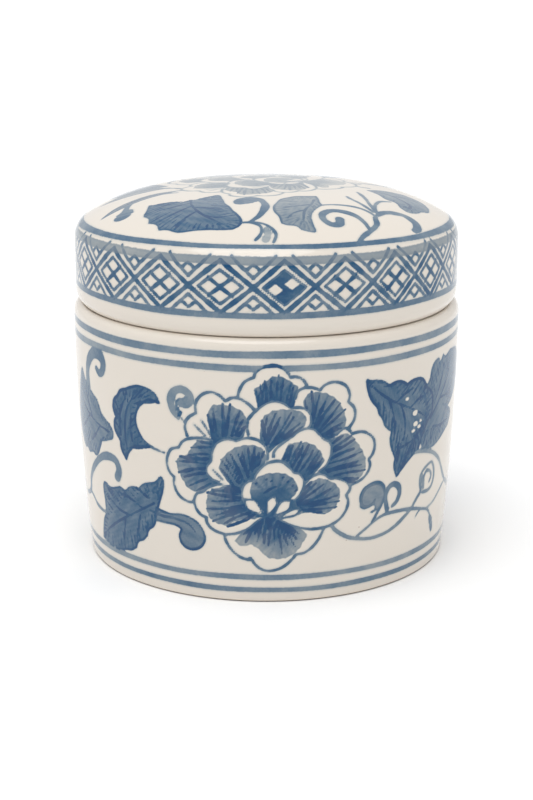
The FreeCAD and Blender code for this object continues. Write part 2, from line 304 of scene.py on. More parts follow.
# %% The wheel: a tree that wraps a flat net onto a template
def wheel_tree():
    tree = bpy.data.node_groups.new("wheel", "GeometryNodeTree")
    for name, way, kind in (("Net", "INPUT", "Geometry"), ("Template", "INPUT", "Object"),
                            ("Quarter turn", "INPUT", "Float"), ("Glaze", "INPUT", "Material"),
                            ("Piece", "OUTPUT", "Geometry")):
        tree.interface.new_socket(name, in_out=way, socket_type="NodeSocket" + kind)
    node = tree.nodes.new
    given, made = node("NodeGroupInput"), node("NodeGroupOutput")
    place, flat = node("GeometryNodeInputPosition"), node("ShaderNodeSeparateXYZ")
    shape, sample = node("GeometryNodeObjectInfo"), node("GeometryNodeSampleCurve")
    sample.mode = "LENGTH"
    edge, arm = node("ShaderNodeSeparateXYZ"), node("ShaderNodeCombineXYZ")
    start, swing = node("ShaderNodeMath"), node("ShaderNodeVectorRotate")
    start.operation = "SUBTRACT"
    swing.rotation_type = "Z_AXIS"
    move, real = node("GeometryNodeSetPosition"), node("GeometryNodeRealizeInstances")
    smooth_on, coat = node("GeometryNodeSetShadeSmooth"), node("GeometryNodeSetMaterial")
    for source, output, target, socket in (
            (place, "Position", flat, 0), (given, "Template", shape, "Object"),
            (shape, "Geometry", sample, "Curves"), (flat, "Y", sample, "Length"),
            (sample, "Position", edge, 0), (edge, "X", arm, "X"), (edge, "Y", arm, "Z"),
            (flat, "X", start, 0), (given, "Quarter turn", start, 1),
            (arm, 0, swing, "Vector"), (start, 0, swing, "Angle"),
            (given, "Net", move, "Geometry"), (swing, 0, move, "Position"),
            (move, 0, smooth_on, "Geometry"), (smooth_on, 0, real, "Geometry"),
            (real, 0, coat, "Geometry"), (given, "Glaze", coat, "Material"),
            (coat, 0, made, "Piece")):
        tree.links.new(source.outputs[output], target.inputs[socket])
    return tree


def template_curve(name, outline):
    """The template as a spline the tree can look along: x is the radius, y the height."""
    curve = bpy.data.curves.new(name, "CURVE")
    curve.dimensions = "3D"
    spline = curve.splines.new("POLY")
    spline.points.add(len(outline) - 1)
    for point, (r, z) in zip(spline.points, outline):
        point.co = (r * MM, z * MM, 0.0, 1.0)
    thing = bpy.data.objects.new(name, curve)
    scene.collection.objects.link(thing)
    return thing


def turn_piece(name, net, outline, glaze):
    """Runs the wheel on one net and keeps the result as a plain mesh."""
    tree, shape = wheel_tree(), template_curve(name + " template", outline)
    blank = bpy.data.objects.new(name + " blank", net)
    scene.collection.objects.link(blank)
    wheel = blank.modifiers.new("wheel", "NODES")
    wheel.node_group = tree
    sockets = {s.name: s.identifier for s in tree.interface.items_tree if s.in_out == "INPUT"}
    wheel[sockets["Template"]] = shape
    wheel[sockets["Quarter turn"]] = math.pi / 2
    wheel[sockets["Glaze"]] = glaze
    bpy.context.view_layer.update()
    ready = blank.evaluated_get(bpy.context.evaluated_depsgraph_get())
    mesh = bpy.data.meshes.new_from_object(ready)
    mesh.name = name
    blank.modifiers.clear()
    for helper in (blank, shape):
        bpy.data.objects.remove(helper)
    piece = bpy.data.objects.new(name, mesh)
    scene.collection.objects.link(piece)
    print(name, "turned:", len(mesh.vertices), "points,", len(mesh.polygons), "faces")
    return piece


# %% Turn both pieces
porcelain = bpy.data.materials.new("glazed porcelain")
body = turn_piece("painted_body", body_net, body_outline, porcelain)
lid = turn_piece("painted_lid", lid_net, lid_outline, porcelain)

# %% [markdown]
# ## True reflections
# A glaze mirrors its surroundings, so any error in which way the surface faces shows at once.
# Blender can average the faces round a point, but beside a small rounding that tips the flat
# next to it. The template already knows the exact direction, so it goes straight to the mesh.

# %% Facing directions from the template
def set_facing(piece, outline, outline_facing, angle, along):
    run = distances(outline)
    out = np.interp(along, run, outline_facing[:, 0])
    up = np.interp(along, run, outline_facing[:, 1])
    size = np.hypot(out, up)
    out, up = out / size, up / size
    normals = np.stack([out * np.sin(angle), -out * np.cos(angle), up], 1)
    piece.data.normals_split_custom_set_from_vertices(normals.tolist())


set_facing(body, body_outline, body_facing, body_angle, body_along)
set_facing(lid, lid_outline, lid_facing, lid_angle, lid_along)

# %% [markdown]
# ## A map of each piece for baking
# When the painting is baked to a picture, each painted part should lie flat on that picture. The
# wall unrolls into two long strips, front and back. The lid's crown is a disc and its side two
# thin strips. The plain clay shares what is left, because nothing on it is finer than a shadow.

# %% Map helpers
EDGE = 0.006          # space kept free round each strip, as a share of the picture
QUARTER, WHOLE = math.pi / 2, 2 * math.pi
ALL_ROUND = (0, WHOLE + 0.1)


def corner_values(piece, angle, along):
    """Angle and distance at each face corner, with angles made continuous inside a face."""
    mesh = piece.data
    vertex = np.empty(len(mesh.loops), np.int64)
    mesh.loops.foreach_get("vertex_index", vertex)
    starts = np.empty(len(mesh.polygons), np.int64)
    sizes = np.empty(len(mesh.polygons), np.int64)
    mesh.polygons.foreach_get("loop_start", starts)
    mesh.polygons.foreach_get("loop_total", sizes)
    face = np.repeat(np.arange(len(starts)), sizes)
    radius = np.linalg.norm(np.array([v.co[:2] for v in mesh.vertices]), axis=1)[vertex]
    turn, pole = angle[vertex].copy(), radius < 1e-6
    widest = np.maximum.reduceat(np.where(pole, -9.0, turn), starts)
    turn[(turn < 0.5) & (widest[face] > 2 * math.pi - 0.5)] += 2 * math.pi
    total = np.add.reduceat(np.where(pole, 0.0, turn), starts)
    count = np.add.reduceat(np.where(pole, 0.0, 1.0), starts)
    middle = (total / count)[face]
    turn[pole] = middle[pole]
    return turn, along[vertex], middle, np.add.reduceat(along[vertex], starts)[face] / sizes[face]


def strip(uv, part, turn, t, turns, lengths, low, high):
    """Unrolls one part into a strip across the picture, between two heights on it."""
    share = np.interp(t[part], lengths, (0, 1))
    uv[part, 0] = np.interp(turn[part], turns, (EDGE, 1 - EDGE))
    uv[part, 1] = low + EDGE + share * (high - low - 2 * EDGE)


def front_and_back(uv, part, turn, middle, t, lengths, heights):
    """Unrolls a part that goes all round into two strips, its front half below its back half."""
    front = part & ((middle < QUARTER) | (middle > 3 * QUARTER))
    front_turn = np.where(middle > 2 * QUARTER, turn - WHOLE, turn)
    strip(uv, front, front_turn, t, (-QUARTER, QUARTER), lengths, *heights[:2])
    strip(uv, part & ~front, turn, t, (QUARTER, 3 * QUARTER), lengths, *heights[1:])


def write_map(piece, uv):
    layer = piece.data.uv_layers.new(name="OFBake")
    layer.data.foreach_set("uv", uv.astype(np.float32).ravel())
    print(piece.name, "map written,", len(uv), "corners")


# %% The body's map
turn, t, middle, t_middle = corner_values(body, body_angle, body_along)
uv = np.zeros((len(turn), 2))
body_run = distances(body_outline)
last_wide = np.nonzero(body_outline[:, 0] > 50.5)[0][-1]      # in the corner where the floor begins
inside_end = body_run[last_wide] + 5.0
foot, bottom = t_middle < body_from, t_middle > inside_end
inside = (t_middle > body_to) & (t_middle < inside_end)
wall = (t_middle > body_from) & (t_middle < body_to)
front_and_back(uv, wall, turn, middle, t, (body_from, body_to), (0, 0.41, 0.82))
strip(uv, foot, turn, t, ALL_ROUND, (0, body_from), 0.82, 0.865)
strip(uv, inside, turn, t, ALL_ROUND, (body_to, inside_end + 1), 0.865, 0.94)
strip(uv, bottom, turn, t, ALL_ROUND, (inside_end - 1, body_run[-1]), 0.94, 1)
write_map(body, uv)

# %% The lid's map
DISC, DISC_PLACE = 0.345, 0.35       # the crown's disc on the picture: radius, and x and y of its middle
OVERLAP = 0.6                        # mm that the disc and the side's strips run on past their border
turn, t, middle, t_middle = corner_values(lid, lid_angle, lid_along)
uv = np.zeros((len(turn), 2))
SIDE_TOP = 99.9                      # height at which the straight side ends
side_end = distance_at(lid_outline, SIDE_TOP, 59.0)
crown, plain = t_middle > side_end, t_middle < lid_from
reach = (lid_to - t) / (lid_to - side_end + OVERLAP) * DISC
uv[crown, 0] = DISC_PLACE + (reach * np.sin(turn))[crown]
uv[crown, 1] = DISC_PLACE - (reach * np.cos(turn))[crown]
front_and_back(uv, ~crown & ~plain, turn, middle, t, (lid_from, side_end + OVERLAP), (0.7, 0.795, 0.89))
strip(uv, plain, turn, t, ALL_ROUND, (0, lid_from), 0.89, 1)
write_map(lid, uv)

# %% [markdown]
# ## How the painting is stored
# Cobalt is brushed on the dry clay in three ways: a flat wash, dark strokes over it, and an
# outline. Each becomes a coat. A coat keeps two numbers on every point of the net: how far that
# point is from the nearest edge of the paint, below zero inside it, and how strong the paint is.
# Storing the distance rather than the paint itself is what keeps a thin line crisp: the edge is
# found between points, where the distance passes zero, so it is placed more finely than the net.
# A line narrower than the net's spacing would still break into dots, so strokes are kept wider.

# %% Coats, and the geometry of a stroke
FAR = 2.0             # mm, the largest distance worth keeping
COATS = ("wash", "vein", "outline")


def new_coats(count):
    return {name: [np.full(count, FAR), np.zeros(count)] for name in COATS}


def read(text):
    """"x,y x,y | x,y" becomes runs of points, each starting where the last one ended."""
    runs = [np.array([[float(v) for v in p.split(",")] for p in run.split()])
            for run in text.split("|")]
    return [runs[0]] + [np.vstack([a[-1:], b]) for a, b in zip(runs, runs[1:])]


def smooth(path, step=0.5):
    """A soft curve through a few given points."""
    if len(path) == 2:
        middle = (path[0] + path[1]) / 2
        path = np.vstack([path[:1], [middle], path[1:]])
    p = np.vstack([2 * path[0] - path[1], path, 2 * path[-1] - path[-2]])
    out = []
    for a, b, c, d in zip(p, p[1:], p[2:], p[3:]):
        t = np.linspace(0, 1, max(2, int(np.linalg.norm(c - b) / step)), endpoint=False)[:, None]
        out.append((2 * b + (c - a) * t + (2 * a - 5 * b + 4 * c - d) * t ** 2
                    + (3 * b - a - 3 * c + d) * t ** 3) / 2)
    return np.vstack(out + [path[-1:]])


def outline_of(text):
    """All the runs of a shape, each smoothed, so the notches between them stay sharp."""
    return np.vstack([smooth(run) for run in read(text)])


def nearest(spots, path):
    """Distance from each spot to a path, and how far along the path that is, from 0 to 1."""
    a, step = path[:-1], np.diff(path, axis=0)
    arm = spots[:, None] - a[None]
    t = np.clip((arm * step).sum(2) / np.maximum((step ** 2).sum(1), 1e-12), 0, 1)
    gap = np.linalg.norm(arm - t[..., None] * step, axis=2)
    best = gap.argmin(1)
    row = np.arange(len(spots))
    return gap[row, best], (best + t[row, best]) / len(a)


def within(spots, ring):
    """True for the spots inside a closed ring: a line to the right crosses it an odd number of times."""
    x, y = spots[:, :1], spots[:, 1:]
    a, b = ring, np.roll(ring, -1, 0)
    rise = np.where(a[:, 1] == b[:, 1], 1e-12, b[:, 1] - a[:, 1])
    meets = (b[:, 0] - a[:, 0]) * (y - a[:, 1]) / rise + a[:, 0]
    hits = ((a[:, 1] > y) != (b[:, 1] > y)) & (x < meets)
    return hits.sum(1) % 2 == 1


def closed(ring):
    return np.vstack([ring, ring[:1]])


# %% The brush
class Brush:
    """Paints in mm on one flattened part of a piece."""

    def __init__(self, coats, x, y, rows=None, load=1.0):
        self.coats, self.rows = coats, np.arange(len(x)) if rows is None else rows
        self.load = load          # how much paint the brush carries
        self.spots = np.stack([x, y], 1)[self.rows]

    def reach(self, path, margin):
        low, high = path.min(0) - margin, path.max(0) + margin
        return np.nonzero(((self.spots > low) & (self.spots < high)).all(1))[0]

    def around(self, ring):
        """The spots near a closed ring, and their distance from its edge, below zero inside."""
        near = self.reach(ring, FAR)
        gap = nearest(self.spots[near], closed(ring))[0]
        gap[within(self.spots[near], ring)] *= -1
        return near, gap

    def lay(self, coat, near, gap, tone):
        gaps, tones = self.coats[coat]
        wins = gap < gaps[self.rows[near]]
        hit = self.rows[near][wins]
        gaps[hit] = gap[wins]
        tones[hit] = np.broadcast_to(tone * self.load, gap.shape)[wins]

    def stroke(self, path, width, tone, ends=(1.0, 1.0), coat="outline", soft=True):
        """One pull of the brush. Ends are shares of the width, and the tone wavers a little."""
        path = smooth(np.asarray(path, float)) if soft else np.asarray(path, float)
        near = self.reach(path, FAR + width)
        gap, t = nearest(self.spots[near], path)
        waver = 1 + 0.10 * np.sin(9.0 * t + path[0, 0]) + 0.05 * np.sin(23.0 * t + path[0, 1])
        half = np.interp(t, (0, 0.35, 0.7, 1), (ends[0], 1, 1, ends[1])) * width / 2 * waver
        self.lay(coat, near, gap - half, tone * waver)

    def lines(self, text, width, tone, ends=(1.0, 1.0)):
        for run in read(text):
            self.stroke(run, width, tone, ends)

    def fill(self, ring, tone):
        """A flat wash, streaked lengthwise by the hairs of the brush."""
        near, gap = self.around(ring)
        middle = ring.mean(0)
        axes = np.linalg.svd(ring - middle, full_matrices=False)[2]
        u, v = ((self.spots[near] - middle) @ axes.T).T
        streak = 0.07 * np.sin(1.7 * v + 0.35 * u) + 0.05 * np.sin(4.3 * v - 0.9 * u + middle[0])
        self.lay("wash", near, gap, tone * (1 + streak))

    def wash(self, outer, inner, dark, pale):
        """A wash that is dark where the loaded brush starts and pale at its far edge."""
        near, gap = self.around(np.vstack([outer, inner[::-1]]))
        from_outer, across = nearest(self.spots[near], outer)
        from_inner = nearest(self.spots[near], inner)[0]
        share = from_inner / np.maximum(from_inner + from_outer, 1e-6)
        ray = across * np.linalg.norm(np.diff(outer, axis=0), axis=1).sum()
        streak = (0.10 * np.sin(1.9 * ray + outer[0, 0]) + 0.08 * np.sin(4.7 * ray)) * (0.4 + share)
        gap = gap + 0.12 * np.sin(2.3 * ray + outer[0, 1]) * share
        self.lay("wash", near, gap, (dark + (pale - dark) * share ** 1.3) * (1 + streak))

    def clear(self, ring):
        """Keeps bare glaze inside a ring, whatever was painted there before."""
        near, gap = self.around(ring)
        hit = self.rows[near]
        for gaps, _ in self.coats.values():
            gaps[hit] = np.maximum(gaps[hit], -gap)


# %% [markdown]
# ## Ruled bands
# The decorator holds a loaded brush still while the wheel turns, so a band is even but breathes a
# little. A band is painted straight onto the net: its edge is a height, plus a slow wander.

# %% Bands round a piece
def band(coats, angle, height, centre, width, tone, coat="outline"):
    wander = 0.07 * np.sin(3 * angle + centre) + 0.05 * np.sin(11 * angle + 2 * centre)
    gap = np.abs(height - centre - wander) - width / 2 * (1 + 0.06 * np.sin(7 * angle + centre))
    gaps, tones = coats[coat]
    wins = gap < gaps
    gaps[wins] = gap[wins]
    tones[wins] = (tone * (1 + 0.08 * np.sin(5 * angle + centre)))[wins]


body_spots = np.array([v.co for v in body.data.vertices]) / MM
lid_spots = np.array([v.co for v in lid.data.vertices]) / MM
body_coats, lid_coats = new_coats(len(body_spots)), new_coats(len(lid_spots))
body_wall = (body_along >= body_from) & (body_along <= body_to)
BODY_BANDS = ((75.9, 2.1, 0.44), (71.95, 1.9, 0.40), (8.0, 1.7, 0.40), (4.0, 1.6, 0.46))
NOWHERE = -50.0       # a height that no band is near, for the points a band mustn't reach
body_height = np.where(body_wall, body_spots[:, 2], NOWHERE)
for centre, width, tone in BODY_BANDS:
    band(body_coats, body_angle, body_height, centre, width, tone)
print("bands on the body:", len(BODY_BANDS))

# %% [markdown]
# ## Painting a petal
# Every petal is made the same way: a scalloped outline, a strip of bare glaze inside it, then a
# wash that starts dark at the flower's heart, combed with dark strokes that fan out from there.
# Petals are painted from the back of the flower to the front, and each clears its own ground.

# %% A petal, a leaf and a white sliver
dice = random.Random(7)
UNDERLAP = 2.2        # mm a wash runs on under the petal in front


def petal(brush, edge, outer, inner, veins=7, line=0.57, width=0.9, dark=0.76, pale=0.42,
          strength=1.05, length=(-0.06, 0.22)):
    rim, far, base = outline_of(edge), outline_of(outer), outline_of(inner)
    brush.clear(np.vstack([rim, base[::-1]]))
    under = base + unit(base.mean(0) - far.mean(0)) * UNDERLAP
    brush.wash(far, under, dark, pale)
    for k in range(veins):
        share = (k + 0.5 + dice.uniform(-0.18, 0.18)) / veins
        tip, root = far[int(share * (len(far) - 1))], base[int(share * (len(base) - 1))]
        tip = tip + (root - tip) * dice.uniform(*length)
        bend = np.array([root[1] - tip[1], tip[0] - root[0]]) * dice.uniform(-0.04, 0.04)
        brush.stroke([tip, (tip + root) / 2 + bend, root], dice.uniform(0.8, 1.2),
                     strength * dice.uniform(0.85, 1.05), (0.65, 0.9), "vein")
    brush.lines(edge, width, line)


FEATHER = 1.9         # mm between the short strokes that comb in from a leaf's edge


def leaf(brush, edge, ribs=(), tone=0.55, line=0.8, width=0.75, rib=0.98, rib_width=0.95):
    ring = outline_of(edge)
    brush.fill(ring, tone)
    middle = smooth(read(ribs[0])[0])
    run = distances(ring)
    for place in np.arange(FEATHER / 2, run[-1], FEATHER):
        start = np.array([np.interp(place + dice.uniform(-0.4, 0.4), run, ring[:, i]) for i in (0, 1)])
        close = int(np.linalg.norm(middle - start, axis=1).argmin())
        aim = middle[max(0, close - 8)]
        end = start + (aim - start) * dice.uniform(0.35, 0.75)
        hair, dark = dice.uniform(0.6, 0.9), tone * dice.uniform(1.2, 1.65)
        brush.stroke([start, (start + end) / 2, end], hair, dark, (0.9, 0.7), "vein")
    brush.stroke(closed(ring), width, line, soft=False)
    for text in ribs:
        brush.stroke(read(text)[0], rib_width, rib, (0.9, 0.6), "vein")


def sliver(brush, root, tip, width):
    root, tip = np.array(root, float), np.array(tip, float)
    side = np.array([root[1] - tip[1], tip[0] - root[0]]) / np.linalg.norm(tip - root) * width / 2
    belly = root + (tip - root) * 0.62
    ring = np.vstack([smooth(np.array([root, belly + side, tip])),
                      smooth(np.array([tip, belly - side, root]))])
    brush.clear(ring)
    brush.stroke(ring, 0.7, 0.7, soft=False)


# %% [markdown]
# ## The peony
# The flower is a full face of peony petals, thirteen round a small heart. The points below are
# given along each petal, in mm: x round the wall from the flower's middle line, y up
# from the foot. A bar marks a notch between two scallops.

# %% The peony's petals, back to front
PEONY = [
    dict(edge="-8.2,63.5 -7.8,65.3 -6.5,67.8 -5,68.8 -3.6,69.4 | -3,71 -1.2,72.3 0.8,72.8 3,72.8"
              " 4.8,72 6,70.8 6.8,69.4 | 8.5,69.5 10.3,68.6 11.4,67 11.5,65.8",
         outer="-3.6,65.8 -2.5,66.5 0,68.5 2.3,69.8 5,69.3 7,68 9,66.5",
         inner="-2,60.8 0,62.5 2.5,63 5,62.3 7.5,60.8", veins=8, dark=0.9, pale=0.55),
    dict(edge="-23.5,50.8 -24.2,53.5 -23.5,55.8 -22,57.2 -20.6,58 | -20.8,60 -20.2,62 -18.5,63.8"
              " -16,64.6 -13.5,63.8 -11.8,62.2 | -10,63.2 -8,63.2 -6,62.2 -4,60.5 -3,58.5",
         outer="-17.3,57 -16,60.3 -14,61 -11,61 -8.5,60.3 -6.3,58.5 -5.6,56 -6,53.5",
         inner="-15.8,52 -13.5,51.5 -10,52 -7,52", veins=7, dark=0.82),
    dict(edge="8,63 9,65.3 11,66.2 13.5,66 15.3,65.2 | 16.8,66.6 19,67.3 21.5,66.9 23.5,65.5"
              " 24.5,63 24.1,61 | 25.8,59.3 26.4,57.3 26,55.3 24.8,53.5",
         outer="10.5,62.5 12,64.4 14.5,64.7 17.5,64 20.5,62 22.5,59 23.5,55.5 22.8,53 20.5,51",
         inner="12.5,56.5 14,54.5 15.5,52 17.5,50.5", veins=10, dark=0.82),
    dict(edge="-15.5,50.3 -19,50.6 -22.5,50.2 -25,49 -26.5,46.9 | -28.8,46.2 -30.2,44 -30.6,41.5"
              " -29.8,39 -28.3,37.6 | -28.4,35.5 -27.5,33 -25.8,31.3 -23.5,30.5 -22,30.6",
         outer="-20.3,50 -22.5,47 -24,45 -26.3,44 -27.3,42 -26.5,39.3 -25,36.5 -23.3,34.5 -20.5,33.8",
         inner="-16,49.5 -16.5,46 -18,43 -18,40 -17,37.5 -15.5,36.5", veins=9),
    dict(edge="20.5,51.5 22.8,53.2 24.5,52.5 25.5,51.2 | 28,51.5 30.5,50.8 32.8,48.8 33.4,46.5"
              " 32.8,44 31.4,42.6 | 32,41 31.5,39 30,37.2 28,36.2 26,35.7",
         outer="22.5,51.7 25,51 27.5,48 29.5,45 30.5,42 30,39 28,36.8 25.5,35.5",
         inner="19.5,50 19.5,46 18,42.5 17.5,41 21,38.5 24,36.5", veins=10, pale=0.3),
    dict(edge="-12.8,21.5 -12.2,19.2 -10.5,16.5 -8,14.5 -5.5,13.7 | -4.8,14.2 -3.5,12.3 -1.5,10.7"
              " 1,10.2 4,10.9 6.5,12.5 8.3,14.3 | 9,15.2 11.5,15.6 14,17.3 16,19.8 17.3,22.5",
         outer="-9.8,19.5 -7.5,18 -4.5,18.5 -2,16.8 0,14.8 2.5,14 6,14.3 9,16 10.8,18.5 12.5,21.5",
         inner="-3,25.8 -1.5,26.6 0.3,27 3,26.8 6,25.3", veins=12, dark=0.8, pale=0.26,
         length=(0.1, 0.45)),
    dict(edge="-18.3,26.2 -18,24.5 -16.5,22.8 -14,21.8 -11.5,21.5 -8,22.3 -5,23.8 -2.5,26 -1,27.2",
         outer="-10.5,25.3 -9,26.3 -6,26.5 -3,26.8", inner="-10.3,25.6 -9,26.6 -6,26.8 -3,27.1",
         veins=0, dark=0.5, pale=0.5),
    dict(edge="2,27.5 5,25.7 8,24.3 11,23.4 14,23 18,23.3 21,24.5 23,26.5 24.5,29",
         outer="3,27 7,27 10,28 13,28.8 16.5,28.8", inner="3,27.3 7,27.4 10,28.4 13,29.2 16.5,29.1",
         veins=0, dark=0.5, pale=0.5),
    dict(edge="-10.8,36.5 -12,37 -15,36.8 -18,35.3 | -18.8,34.4 -20.8,33.6 -21.9,31.5 -21.5,29"
              " -20,27 -18,26.2",
         outer="-10.5,37 -14,36 -17,34.5 -18,31.5 -18,29 -17.3,26.5 -15,24.8 -11,24.2 -10.3,25.5",
         inner="-8,36 -7,34 -6.5,31.5 -5,29.5 -4,28.4 -3,28", veins=10, pale=0.4),
    dict(edge="11.5,37.5 13,39.2 15,40 17,39.8 19,38.3 | 21,38.2 23.3,37.2 25,35.8 25.5,34.3"
              " 24.3,32.5 | 25,30.5 24.5,28 23,25.8 21,24.3 19,23.5",
         outer="10.7,36 13,37.8 16,38.6 19,37.5 21.5,35.5 22.3,33 21.5,30.5 20,28.5 17.5,27.5"
               " 16.5,28.5",
         inner="8.5,33 9,32 9.5,30.5 10,29.6 11,29", veins=9),
    dict(edge="-5.2,52.5 -5.6,54.8 -5.3,57 | -4.6,58 -2.8,59.8 -1.5,61 1,62.4 3,62.5 5,61.8 7,60.4"
              " | 9.5,60.4 11.5,59.7 12.8,58 13,56 12.5,54.5 11.5,53.8",
         outer="-1.6,56.5 -0.5,58.2 1.5,59.5 4,60 7,59.9 9.5,59.3 11.2,57.8 11.4,55.8 10.5,54.3"
               " 8.5,52.8",
         inner="-0.8,52 -0.3,50 1.2,48.5 2.5,49.5 4,51", veins=9, dark=0.7, pale=0.4),
    dict(edge="-14,37.5 -16.5,38.5 -17.9,40.5 -17.5,42.5 -16.3,44 | -16,46.5 -15,49 -13,50.6"
              " -10.5,50.9 -8.8,50.5 | -7,51.2 -4.5,51.4 -2,50.7 -0.3,49 0.3,47 0.2,45",
         outer="-14,41.8 -13.2,44.5 -11.5,46.5 -9,48.5 -6,49.3 -3,49.2 -1,48 0,46",
         inner="-9.5,36.5 -7,38 -5,40 -3.5,42.5 -1.5,44", veins=10, dark=0.82),
    dict(edge="2,46 2.2,47.5 4,49.5 6,51 7.5,52 | 9,53.3 11,54 13.5,53.9 15.3,52.3 16.8,50.5"
              " | 18.5,49.5 19.3,47.5 18.8,44.5 17.3,42 15.5,40.8",
         outer="6.5,49.8 9,50 12,49.8 14.3,48.5 16,46.3 17,44",
         inner="4.5,45.2 6.5,44 8.5,41.5 11.5,40 14,40.5", veins=9),
    dict(edge="-5.2,30.5 -6.8,32 -7.4,34.5 -6.8,37 -5,38.7 | -3.9,38.7 -3.2,40.5 -1.3,42.8 1,44.2"
              " 4,44.5 6.3,43 8,41 | 9.8,40.4 11,38.5 11,36.3 10,34 8.3,32.3",
         outer="-4.8,35 -4.5,37.2 -3,39.3 -0.5,40.6 2.5,41 5.5,40.6 7.8,39 9,37 9,35 7.5,33.2",
         inner="-3.5,33 -1,31.5 1,31 4,31 6,32.5", veins=0, dark=0.76, pale=0.5),
]
HEART_DOTS = ((4.8, 39.5), (6.3, 38.2), (7.7, 37), (8.7, 35.3), (-3, 37.8), (0, 39), (1.5, 38.5))
print("the peony has", len(PEONY), "petals, the last of them its heart")


def peony(brush):
    for shape in PEONY:
        petal(brush, **shape)
    brush.lines("-3,71 -1.2,72.3 0.8,72.8 3,72.8 4.8,72 6,70.8", 1.1, 0.9, (0.6, 0.5))
    brush.stroke([(-2, 34), (2, 36.5), (4, 37)], 0.9, 1.0, (0.3, 0.5), "vein")
    for x, y in HEART_DOTS:
        brush.stroke([(x - 0.25, y - 0.2), (x + 0.25, y + 0.2)], 0.7, 1.1, coat="vein")
    for root, tip, width in (((-0.6, 27.8), (-6.6, 32.8), 3.5), ((2.0, 27.6), (7.4, 32.4), 3.4),
                             ((0.4, 27.6), (2.3, 34.0), 3.2), ((3.4, 26.9), (10.6, 29.5), 2.0)):
        sliver(brush, root, tip, width)
    for path in (((-21.3, 54.5), (-18, 51.5)), ((-19, 56), (-16, 51.5)), ((-15.8, 41.3), (-13, 38.6))):
        brush.stroke(path, 0.8, 0.45, (0.8, 1.0))


# %% [markdown]
# ## Leaves and vines
# A leaf is one flat wash with a notched outline. Short strokes comb in from its edge towards the
# middle rib, and the ribs go on last, darkest. Vines are single strokes that swell and thin, as a
# pointed brush makes them when it is pressed and lifted. Buds are small washes with an outline.

# %% Leaves, curls and vines round the peony
LEAVES = [
    dict(edge="-32.7,59.6 -34,61.8 -36.5,63 -40.5,63.3 -43.5,62.4 -45.5,61.5 -47.8,60.7 -49.3,58.8"
              " -51,57.3 -51.6,55 -51,53 -50.2,52 | -51.3,50.5 -51.2,48 -49.8,46.2 -48.8,45.2 -48.6,42.8"
              " -47.5,41 -46.6,39.8 | -45.5,42 -43.5,44 -41,45 -38.5,45.3 -36,45.6 | -38.8,47"
              " -40.8,49.5 -41.8,52 -41.7,54.5 -40.5,57 -38.5,58.8 -36,60 -32.7,59.6",
         ribs=("-46,43 -46.5,49 -45.5,55 -42,60.5", "-48.5,47 -48.6,53 -46,59",
               "-43.5,46 -44,50 -43.6,54"), tone=0.66, line=0.95, width=0.9),
    dict(edge="-64,56 -62,55.3 -60.5,54 -59,51.5 -56.5,49.8 -54,48.5 -52.7,46.8 -53,44.9 -54.5,44.2"
              " | -58,43 -60.2,42.5 -61,40.5 -62.5,38 -64.5,36.8 -66.3,37.5 | -68,37 -70,36.5 -72,37.5"
              " -74.5,37 -78,40 -80,46 -78,52 -76,57 -73,62 -70,59 -64,56",
         ribs=("-55,46.5 -62,47.5 -70,50 -76,54", "-60,47 -64,43 -68,40", "-65,48.5 -68,53 -71,57",
               "-67,49 -72,45 -76,43"), tone=0.56, line=0.7),
    dict(edge="-60,23 -60.5,27 -59.7,29 -58,29 | -56,28.3 -53,29 -50.5,29.9 | -48,29.3 -46,30.8"
              " -43.5,31.5 -42,31.2 | -40,33 -37.5,34 -35.5,34.5 -34,35.7 -33,36.7 -32.3,36"
              " | -32.3,34.5 -33,31.5 -34.2,28.5 -35.2,25.5 -36,22.3 | -37,20.5 -39,19 -39.8,17"
              " | -41.5,15.3 -43.8,14.2 -45,12 | -47.5,10.5 -50,10 -52.5,9.2 | -55,8.8 -57,9 -59,8.7"
              " -61,9.3 -64.3,9.8 | -63.5,13 -62,16.5 -60.3,19 -60,23",
         ribs=("-36,28 -42,24.5 -50,20 -58,15 -63,11", "-41,25.5 -46,27.5 -52,28",
               "-46,22 -52,22.5 -58,25.5", "-42,23 -43,19 -44,15.5", "-49,20.5 -50,16 -51,12"),
         tone=0.64, line=0.9),
    dict(edge="30.2,66.7 31.5,66.2 33.5,66 36,65.3 38,63.8 | 40,64.4 42,64.5 44,63.8 45.5,62.8"
              " | 47,63.5 50,63.8 52.5,63.2 54,61.7 54.8,60.3 | 57,59 58.5,57 59,54 58.5,51.5 56,49"
              " 53.5,45 51.5,41.1 | 50,40.8 47,39 44.5,37 42.6,35.3 | 41.8,37 41.3,39 41.7,41"
              " | 41,42.5 39.8,45 39.3,47.5 39.8,49.8 | 38.7,50.6 37,52.2 36,54.5 34.8,56 34,58.2"
              " | 32.5,59.8 31.3,61.8 30.5,64.5 30.2,66.7",
         ribs=("31,65.5 35,62 40,58.8 46,56 52,53 56,50.5", "45,37.5 47,42 52,47.5 56,50",
               "38,60 40,55 41,50", "43,57.3 45,52 45,46", "41,58.3 45,60.5 49,61.5",
               "47,55.5 51,57.5 55,58", "48.5,45 44,44 41.5,44.5"),
         tone=0.62, line=1.0, width=0.9),
    dict(edge="55,60.5 56.8,62.5 57.5,65 59,66.8 61.5,67.6 62.3,67 | 63,66 64,66.8 65,68"
              " | 66.5,67 68.5,67.3 71,68 74,67.8 77,67.5 80,66.5 84,62 82,56 75,52 70,50.5 | 75,48"
              " 73,44.5 70,43.5 66,42 62,40.8 58,40.5 54,41.5 | 53.5,45 54.5,50 55,54 54,58 53.5,60.5"
              " 55,60.5",
         ribs=("58,50 65,56 72,63", "60,54 64,60 66,65", "60,47 66,46 72,46.5", "64,55 70,55 76,57"),
         tone=0.58, line=0.75),
]
